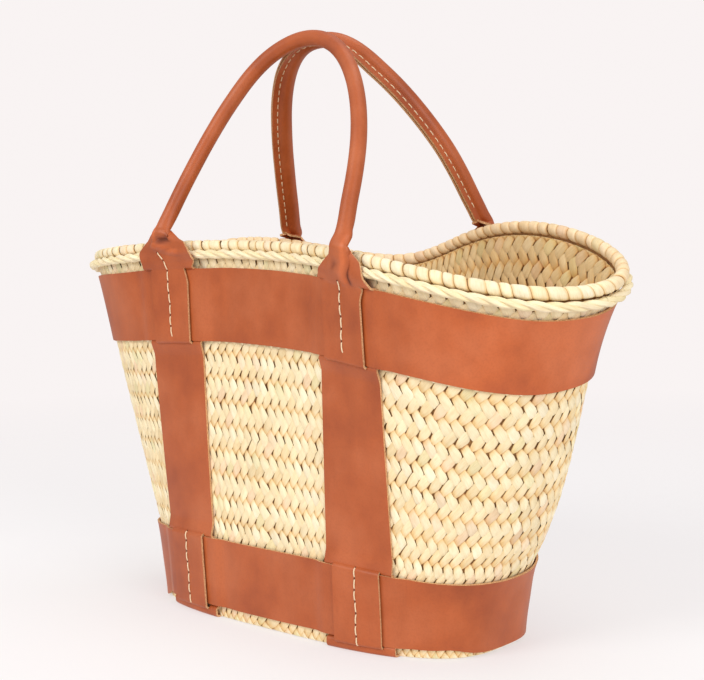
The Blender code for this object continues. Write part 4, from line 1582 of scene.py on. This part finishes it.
    def handle_rows(self) -> np.ndarray:
        """Lay the handle's rows from its left to its right foot."""
        form, arch = self.form, self.arch
        path = self.path()
        path[:, 0] += self.swayed(np.linspace(0.0, 1.0, len(path)))
        length = np.concatenate([[0.0], np.cumsum(np.linalg.norm(np.diff(path, axis=0), axis=1))])
        total = length[-1]
        foot = np.arange(self.fold_step, max(high for _, high in arch.gathers) + 0.008, self.fold_step)
        body = np.linspace(foot[-1] + self.row_step, total - foot[-1] - self.row_step, 100)
        places = np.concatenate([foot, body, (total - foot)[::-1]])
        step = 1.5 * MM
        spots, ahead, behind = (
            np.stack([np.interp(places + move, length, path[:, axis]) for axis in range(3)], axis=-1)
            for move in (0.0, step, -step)
        )
        tangents = unit(ahead - behind)
        fold, outward = self.fold_frame()
        left, right = form.hinge_points(arch.side)
        heart = 0.5 * (left + right)
        heart[2] += 0.5 * arch.rise
        heart[1] -= arch.side.value * 0.5 * arch.reach_share * form.rim_width
        stations = np.linspace(0.0, 1.0, len(arch.seam_turns))
        rows = []
        for spot, tangent, place in zip(spots, tangents, places):
            near = min(place, total - place)
            hand = -1 if place < 0.5 * total else 1
            lead = float(ease(np.array(near / 0.020)))
            hidden = float(ease(np.array(near / 0.014)))
            upright = np.array([0.0, 0.0, 1.0]) * -hand
            tangent = unit(upright + (tangent - upright) * lead)
            inward = unit(-outward - tangent * np.dot(-outward, tangent))
            inner = heart - spot
            inner = inner - tangent * np.dot(inner, tangent)
            inner = unit(inner - inward * np.dot(inner, inward))
            turn = math.radians(float(np.interp(place / total, stations, arch.seam_turns))) * hidden
            seam = inward * math.cos(turn) + inner * math.sin(turn)
            across = unit(np.cross(tangent, seam))
            across = across * np.sign(np.dot(across, fold) or 1.0)
            shape = self.section(near, hand)
            start = spot - seam * self.stand(self.curl(near, hand))
            row = start + across * shape[:, :1] + seam * shape[:, 1:]
            rows.append(row + seam * self.dent(near, hand)[:, None])
        rows = np.stack(rows)
        for index in range(1, len(rows)):
            if np.dot(rows[index, -1] - rows[index, 0], rows[index - 1, -1] - rows[index - 1, 0]) < 0.0:
                rows[index] = rows[index, ::-1]
        return rows

    def levels(self) -> np.ndarray:
        """Return the levels of a strap's rows, from the top down, closer at each bend."""
        form = self.form
        upper_foot = form.upper_band_foot
        upper_top = upper_foot + form.band_height
        lower_top = form.lower_band_foot + form.band_height
        lower_foot = form.lower_band_foot
        run = self.overrun
        marks = [
            (form.rim_height, form.rim_height - 0.014, 0.0012),
            (form.rim_height - 0.014, upper_top + 2.0 * run, 0.0016),
            (upper_top + 2.0 * run, upper_top - 2.0 * run, 0.0005),
            (upper_top - 2.0 * run, upper_foot + 2.0 * run, 0.0040),
            (upper_foot + 2.0 * run, upper_foot - 2.0 * run, 0.0005),
            (upper_foot - 2.0 * run, upper_foot - 0.014, 0.0025),
            (upper_foot - 0.014, lower_top + 0.014, 0.0050),
            (lower_top + 0.014, lower_top + 2.0 * run, 0.0025),
            (lower_top + 2.0 * run, lower_top - 2.0 * run, 0.0005),
            (lower_top - 2.0 * run, lower_foot + 2.0 * run, 0.0040),
            (lower_foot + 2.0 * run, lower_foot - 2.0 * run, 0.0005),
            (lower_foot - 2.0 * run, form.leather + 2.0 * form.clearance, 0.0009),
        ]
        found = [marks[0][0]]
        for start, end, step in marks:
            if start <= end:
                continue
            count = max(int(round((start - end) / step)), 1)
            found += [start + (end - start) * index / count for index in range(1, count + 1)]
        return np.array(found)

    def offset_tables(self) -> tuple[np.ndarray, np.ndarray, np.ndarray]:
        """List the leather's distance off the wall by level, for tongue and margins."""
        form = self.form
        low = form.clearance
        over = 3.0 * form.clearance + 2.0 * form.leather
        past_roll = 2.0 * form.clearance + 2.0 * form.under_roll
        upper_foot = form.upper_band_foot
        upper_top = upper_foot + form.band_height
        lower_foot = form.lower_band_foot
        lower_top = lower_foot + form.band_height
        run = self.overrun
        gap = 0.3 * MM
        half = 0.5 * (low + over)
        under_level = form.rim_height - form.rim_roll - form.under_roll_drop - 0.5 * form.under_roll
        marks = [
            (0.0, half, half),
            (lower_foot - run, half, half),
            (lower_foot - gap, over, low),
            (lower_top + gap, over, low),
            (lower_top + run, half, half),
            (lower_top + 0.012, low, low),
            (upper_foot - 0.012, low, low),
            (upper_foot - run, half, half),
            (upper_foot - gap, over, low),
            (upper_top + gap, over, low),
            (upper_top + run, over + 0.0005, over + 0.0005),
            (under_level, past_roll, past_roll),
            (form.rim_height + 0.006, past_roll, past_roll),
        ]
        levels, tongues, margins = (np.array(part) for part in zip(*marks))
        fine = np.linspace(levels[0], levels[-1], 1500)
        kernel = np.hanning(9)
        kernel = kernel / kernel.sum()
        parts = []
        for part in (tongues, margins):
            padded = np.pad(np.interp(fine, levels, part), 4, mode="edge")
            parts.append(np.convolve(padded, kernel, mode="valid"))
        return fine, parts[0], parts[1]

    def strap_rows(self, hand: int) -> np.ndarray:
        """Lay one strap's rows from the fold down to the base's edge and under it.

        Args:
            hand: -1 for the left strap and 1 for the right one.

        Returns:
            The rows' points, from the fold to the middle of the base.
        """
        form = self.form
        side = self.arch.side
        columns = self.columns()
        fine, tongues, margins = self.offset_tables()
        stops = self.levels()
        inner_part = np.abs(columns) < 0.5 * form.strap_width - form.strap_margin - 0.5 * form.slit_width
        fold, outward = self.fold_frame()
        top = form.hinge_points(side)[0 if hand < 0 else 1]
        top[0] += float(self.swayed(np.array(0.0 if hand < 0 else 1.0)))
        rows = []
        for level in stops:
            height = level - form.rim_height - form.hinge_rise
            shape = self.section(height, hand)
            off = np.where(inner_part, np.interp(level, fine, tongues), np.interp(level, fine, margins))
            x = hand * form.strap_x(level) + shape[:, 0]
            angle = form.angle_at(x, np.full(len(columns), level), side)
            row = form.skin(angle, np.full(len(columns), level), off)
            share = float(ease(np.array((height + 0.018) / 0.010)))
            stand = self.stand(self.curl(height, hand)) - shape[:, 1:]
            row = row + outward * (form.leather + stand)
            if share > 0.0:
                held = top + fold * shape[:, :1] + outward * stand
                held[:, 2] = top[2] + height
                row = row * (1.0 - share) + held * share
            rows.append(row - outward * self.dent(height, hand)[:, None])
        rows = np.stack(rows)
        return np.concatenate([rows, self.under_rows(rows[-1], hand)])

    def under_rows(self, edge: np.ndarray, hand: int) -> np.ndarray:
        """Lay the rows from the base's edge in to the middle of the base."""
        form = self.form
        columns = self.columns()
        inward = -self.arch.side.value
        rows = []
        middle = form.shift[1]
        low = self.thickness + 0.05 * MM
        for step, height in ((0.25 * MM, 0.45), (0.8 * MM, 0.12), (2.0 * MM, 0.0)):
            row = edge.copy()
            row[:, 1] += inward * step
            row[:, 2] = low + (edge[:, 2] - low) * height
            rows.append(row)
        first = rows[-1][:, 1]
        for share in (0.15, 0.4, 0.7, 1.0):
            row = edge.copy()
            row[:, 0] += (form.shift[0] + hand * form.strap_x(0.0) + columns - row[:, 0]) * share
            row[:, 1] = first + (middle - first) * share
            row[:, 2] = low
            rows.append(row)
        return np.stack(rows)

    def cut_cells(self, levels: np.ndarray, rows: int) -> np.ndarray:
        """Mark the cells of the slits beside each band.

        Args:
            levels: the levels of the strap's rows.
            rows: how many rows the strap has in all.

        Returns:
            Rows by cells, true where the leather is slit.
        """
        form = self.form
        columns = self.columns()
        middles = 0.5 * (columns[1:] + columns[:-1])
        edge = 0.5 * form.strap_width - form.strap_margin - 0.5 * form.slit_width
        slit = np.abs(np.abs(middles) - edge) < 0.5 * form.slit_width
        cut = np.zeros((rows - 1, len(middles)), bool)
        run = self.overrun
        for foot in (form.upper_band_foot, form.lower_band_foot):
            between = 0.5 * (levels[1:] + levels[:-1])
            here = (between > foot - run) & (between < foot + form.band_height + run)
            cut[: len(between)] |= here[:, None] & slit[None]
        return cut

    def make(self) -> list[bpy.types.Object]:
        """Build the strip and its stitches."""
        left = self.strap_rows(-1)
        right = self.strap_rows(1)
        handle = self.handle_rows()
        columns = self.columns()
        if self.mirrored(handle[0], left[0]):
            handle = handle[:, ::-1]
        right_part = right[:, ::-1] if self.mirrored(right[0], handle[-1]) else right
        cut_left = self.cut_cells(self.levels(), len(left))[::-1]
        cut_right = self.cut_cells(self.levels(), len(right))
        if right_part is not right:
            cut_right = cut_right[:, ::-1]
        rows = np.concatenate([left[::-1], handle, right_part])
        whole = np.zeros((len(handle) + 1, len(columns) - 1), bool)
        cut = np.concatenate([cut_left, whole, cut_right])
        name = self.arch.side.name.lower()
        painted_shading_rows = self.painted_shading_rows(len(left), len(handle), right_part is not right)
        strip = self.sheet(name + "_strap_and_handle", rows, np.array([0.0, 0.0, -1.0]), cut, painted_shading_rows=painted_shading_rows)
        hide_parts(self.arch.name, "left_strap", "right_strap")
        self.bend(strip)
        pieces = [strip, self.rope()]
        pieces += self.strap_stitches(name, {-1: left, 1: right})
        pieces += self.flange_stitches(name, handle)
        return pieces

    def painted_shading_rows(self, strap_count: int, handle_count: int, turned: bool) -> np.ndarray:
        """Say how much painted shade darkens the leather in the folds of both feet, and how much painted highlight
        lightens their ridges.

        Args:
            strap_count: how many rows each strap has.
            handle_count: how many rows the handle has.
            turned: whether the right foot's columns are laid in the other order.

        Returns:
            Rows by columns, from -1 for a painted highlight on a ridge over 0 to 1 for painted shade in the depth of
            a fold.
        """
        columns = self.columns()
        form = self.form
        down = np.concatenate([self.levels() - form.rim_height - form.hinge_rise, np.full(strap_count, -1.0)])[:strap_count]
        up = self.fold_step * np.arange(1, handle_count + 1)
        parts = []
        for hand, heights in ((-1, down[::-1]), (-1, up), (1, up[::-1]), (1, down)):
            shade = np.stack([self.sum_of(self.arch.shades[0 if hand < 0 else 1], height) for height in heights])
            shade = shade[:, ::-1] if turned and hand > 0 else shade
            parts.append(np.clip(shade, -1.0, 1.0))
        return np.concatenate([parts[0], parts[1] + parts[2], parts[3]]).reshape(-1, len(columns))

    @staticmethod
    def mirrored(first: np.ndarray, second: np.ndarray) -> bool:
        """Tell whether two neighbouring rows run opposite ways."""
        return float(np.dot(first[-1] - first[0], second[-1] - second[0])) < 0.0

    def bend(self, piece: bpy.types.Object) -> None:
        """Bake a piece's placement into its points."""
        left, right = self.form.hinge_points(self.arch.side)
        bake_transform(piece)

    def rope(self) -> bpy.types.Object:
        """Twist the rope that runs inside the handle's tube."""
        arch = self.arch
        path = self.path()
        path[:, 0] += self.swayed(np.linspace(0.0, 1.0, len(path)))
        length = np.concatenate([[0.0], np.cumsum(np.linalg.norm(np.diff(path, axis=0), axis=1))])
        hidden = max(0.004 + arch.flange_rise, 0.014)
        place = np.linspace(hidden, length[-1] - hidden, 240)
        centre = np.stack([np.interp(place, length, path[:, axis]) for axis in range(3)], axis=-1)
        ahead = unit(np.gradient(centre, axis=0))
        _, outward = self.fold_frame()
        side = unit(outward - ahead * (ahead @ outward)[:, None])
        other = np.cross(ahead, side)
        strands = []
        for index in range(3):
            turn = (TAU * (place / self.rope_lay + index / 3.0))[:, None]
            strands.append(centre + (np.cos(turn) * side + np.sin(turn) * other) * self.rope_strand)
        rope = Workbench.threads(arch.name + "_rope", strands, self.rope_strand * 1.08, 2)
        rope.data.materials.append(self.finishes.rope)
        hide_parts(arch.name + "_core")
        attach(rope, arch.name)
        return rope

    def strap_stitches(self, name: str, straps: dict[int, np.ndarray]) -> list[bpy.types.Object]:
        """Sew the running stitches down the straps' tongues at both bands.

        Args:
            name: the side's name.
            straps: the rows of the left and the right strap.

        Returns:
            The stitches and their needle holes.
        """
        form = self.form
        levels = self.levels()
        middle = int(np.argmin(np.abs(self.columns())))
        threads, holes = [], []
        for index, hand in enumerate((-1, 1)):
            rows = straps[hand][: len(levels)]
            line = rows[:, middle]
            across = rows[:, middle + 1] - rows[:, middle - 1]
            out = unit(np.cross(np.gradient(line, axis=0), across))
            _, outward = self.fold_frame()
            out = out * np.sign((out * outward).sum(axis=1, keepdims=True))
            face = line + out * (self.thickness + 0.12 * MM)
            top = form.rim_height + self.arch.stitch_tops[index]
            for high, low in ((top, form.upper_band_foot + 0.002), (0.0696, form.lower_band_foot - 0.002)):
                level = np.linspace(high, low, 80)
                order = np.argsort(levels)
                spot = np.stack([np.interp(level, levels[order], face[order, axis]) for axis in range(3)], axis=-1)
                way = np.stack([np.interp(level, levels[order], out[order, axis]) for axis in range(3)], axis=-1)
                lean = 6.0 * MM * np.exp(-(form.rim_height - level) / 0.018) * (hand < 0)
                spot[:, 0] += 0.4 * MM * np.sin(level * 220.0) - lean
                runs, dots = self.stitch_runs(spot, unit(way), 9.3 * MM, 0.86, 0.40 * MM)
                threads += runs
                holes += dots
        sewn = Workbench.threads(name + "_strap_stitches", threads, 0.55 * MM)
        sewn.data.materials.append(self.finishes.thread)
        # Painted shade: the needle holes are dark dots laid on the leather, not holes.
        pits = Workbench.threads(name + "_strap_needle_holes", holes, 0.42 * MM)
        pits.data.materials.append(self.finishes.pit)
        for piece in (sewn, pits):
            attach(piece, "basket")
        return [sewn, pits]

    def flange_stitches(self, name: str, rows: np.ndarray) -> list[bpy.types.Object]:
        """Sew the handle's flange along both of its faces."""
        columns = self.columns()
        rows = rows[9:-9]
        found = []
        for sign in (-1, 1):
            index = int(np.argmin(np.abs(columns - sign * 0.0222)))
            line = rows[:, index]
            facing = rows[:, int(np.argmin(np.abs(columns + sign * 0.0222)))]
            beside = rows[:, index + 1] - rows[:, index - 1]
            out = unit(np.cross(np.gradient(line, axis=0), beside))
            away = line - facing
            out = out * np.sign((out * away).sum(axis=1, keepdims=True))
            face = line + out * (self.thickness + 0.1 * MM)
            runs, _ = self.stitch_runs(face, out, 7.0 * MM, 0.62, 0.3 * MM)
            found += runs
        sewn = Workbench.threads(name + "_handle_stitches", found, 0.45 * MM)
        sewn.data.materials.append(self.finishes.thread)
        self.bend(sewn)
        return [sewn]


@dataclass
class Studio:
    """The camera where the photographer stood, soft lamps, and a pale floor."""

    form: BasketForm
    azimuth: float = 41.0
    elevation: float = 5.0
    roll: float = -0.769
    distance: float = 1.177
    focal_pixels: float = 1391.0
    frame_width: float = 704.0
    sensor: float = 36.0
    aim: tuple = (0.0, 0.0, 0.155)
    aim_right: float = 0.015366
    aim_up: float = 0.076143
    backdrop: tuple[float, float, float, float] = (0.9473, 0.9005, 0.8963, 1.0)
    ground: tuple[float, float, float, float] = (0.935, 0.935, 0.955, 1.0)

    def camera(self) -> None:
        """Place the camera."""
        azimuth, elevation = math.radians(self.azimuth), math.radians(self.elevation)
        forward = Vector((
            -math.sin(azimuth) * math.cos(elevation),
            math.cos(azimuth) * math.cos(elevation),
            -math.sin(elevation),
        ))
        right = Vector((math.cos(azimuth), math.sin(azimuth), 0.0))
        up = right.cross(forward)
        roll = math.radians(self.roll)
        level = math.cos(roll) * right + math.sin(roll) * up
        upward = -math.sin(roll) * right + math.cos(roll) * up
        target = Vector(self.aim) + level * self.aim_right + upward * self.aim_up
        target += Vector((self.form.shift[0], self.form.shift[1], 0.0))
        lens = bpy.data.cameras.new("camera")
        lens.lens = self.focal_pixels * self.sensor / self.frame_width
        lens.sensor_width = self.sensor
        lens.clip_start = 0.05
        lens.clip_end = 40.0
        eye = bpy.data.objects.new("camera", lens)
        turn = Matrix((level, upward, -forward)).transposed().to_4x4()
        eye.matrix_world = Matrix.Translation(target - forward * self.distance) @ turn
        bpy.context.scene.collection.objects.link(eye)
        bpy.context.scene.camera = eye

    def lamp(self, name: str, place: tuple, power: float, size: float, colour: tuple = (1.0, 1.0, 1.0)) -> None:
        """Hang one soft lamp, turned to the basket.

        Args:
            name: its name.
            place: where it hangs.
            power: its power in watts.
            size: its side.
            colour: its colour.
        """
        light = bpy.data.lights.new(name, "AREA")
        light.energy = power
        light.size = size
        light.color = colour
        lamp = bpy.data.objects.new(name, light)
        lamp.location = place
        way = Vector((0.0, 0.0, 0.2)) - Vector(place)
        lamp.rotation_euler = way.to_track_quat("-Z", "Y").to_euler()
        bpy.context.scene.collection.objects.link(lamp)

    def lamps(self) -> None:
        """Hang the lamps and light the room."""
        self.lamp("key_lamp", (-0.5, -2.3, 1.7), 32.0, 1.3, (1.0, 0.99, 0.97))
        self.lamp("side_lamp", (2.4, -1.0, 1.1), 30.0, 1.4)
        self.lamp("top_lamp", (0.2, 0.3, 2.6), 14.0, 1.6)
        world = bpy.data.worlds.new("room")
        bpy.context.scene.world = world
        world.use_nodes = True
        tree = world.node_tree
        room = tree.nodes["Background"]
        room.inputs["Color"].default_value = (1.0, 0.99, 0.98, 1.0)
        room.inputs["Strength"].default_value = 0.56
        seen = tree.nodes.new("ShaderNodeBackground")
        seen.inputs["Color"].default_value = self.backdrop
        path = tree.nodes.new("ShaderNodeLightPath")
        either = tree.nodes.new("ShaderNodeMath")
        either.operation = "MAXIMUM"
        mixer = tree.nodes.new("ShaderNodeMixShader")
        tree.links.new(path.outputs["Is Camera Ray"], either.inputs[0])
        tree.links.new(path.outputs["Is Transmission Ray"], either.inputs[1])
        tree.links.new(either.outputs["Value"], mixer.inputs["Fac"])
        tree.links.new(room.outputs["Background"], mixer.inputs[1])
        tree.links.new(seen.outputs["Background"], mixer.inputs[2])
        tree.links.new(mixer.outputs["Shader"], tree.nodes["World Output"].inputs["Surface"])

    def floor(self) -> None:
        """Lay a pale floor that keeps a faint shadow and fades into the backdrop."""
        for item in list(bpy.context.selected_objects):
            item.select_set(False)
        bpy.ops.mesh.primitive_circle_add(vertices=96, radius=3.0, fill_type="NGON", location=(0.0, 0.0, 0.0))
        ground = bpy.context.active_object
        ground.name = "floor"
        recipe = Recipe("pale_floor")
        recipe.shader.inputs["Base Color"].default_value = self.ground
        recipe.shader.inputs["Roughness"].default_value = 0.95
        recipe.shader.inputs["Specular IOR Level"].default_value = 0.0
        glow = recipe.add("ShaderNodeEmission")
        glow.inputs["Color"].default_value = self.backdrop
        share = recipe.add("ShaderNodeMixShader")
        share.inputs["Fac"].default_value = 0.55
        recipe.join(recipe.shader.outputs["BSDF"], share.inputs[1])
        recipe.join(glow.outputs["Emission"], share.inputs[2])
        place = recipe.add("ShaderNodeTexCoord").outputs["Object"]
        length = recipe.add("ShaderNodeVectorMath", operation="LENGTH")
        recipe.join(place, length.inputs[0])
        far = recipe.add("ShaderNodeMapRange")
        far.inputs["From Min"].default_value = 0.45
        far.inputs["From Max"].default_value = 1.6
        recipe.join(length.outputs["Value"], far.inputs["Value"])
        clear = recipe.add("ShaderNodeBsdfTransparent")
        fade = recipe.add("ShaderNodeMixShader")
        recipe.join(far.outputs["Result"], fade.inputs["Fac"])
        recipe.join(share.outputs["Shader"], fade.inputs[1])
        recipe.join(clear.outputs["BSDF"], fade.inputs[2])
        output = recipe.tree.nodes["Material Output"]
        recipe.join(fade.outputs["Shader"], output.inputs["Surface"])
        ground.data.materials.append(recipe.material)

    def make(self) -> None:
        """Set up camera, lamps and floor."""
        self.camera()
        self.lamps()
        self.floor()
        bpy.context.scene.view_settings.view_transform = "Standard"


def main() -> None:
    """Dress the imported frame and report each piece."""
    logging.basicConfig(level=logging.INFO, format="%(message)s")
    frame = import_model()
    form = BasketForm().settled_on(frame)
    LOG.info("basket moved by %s", form.shift)
    finishes = Finishes()
    plait = Plait(form, finishes)
    makers = [
        plait,
        RimRolls(form, finishes, plait),
        Bands(form, finishes),
        StrapAndHandle(form, finishes, arch=FRONT_ARCH),
        StrapAndHandle(form, finishes, arch=BACK_ARCH),
    ]
    for maker in makers:
        for piece in maker.make():
            LOG.info("%s: %d faces", piece.name, len(piece.data.polygons))
    Studio(form).make()


if __name__ == "__main__":
    main()
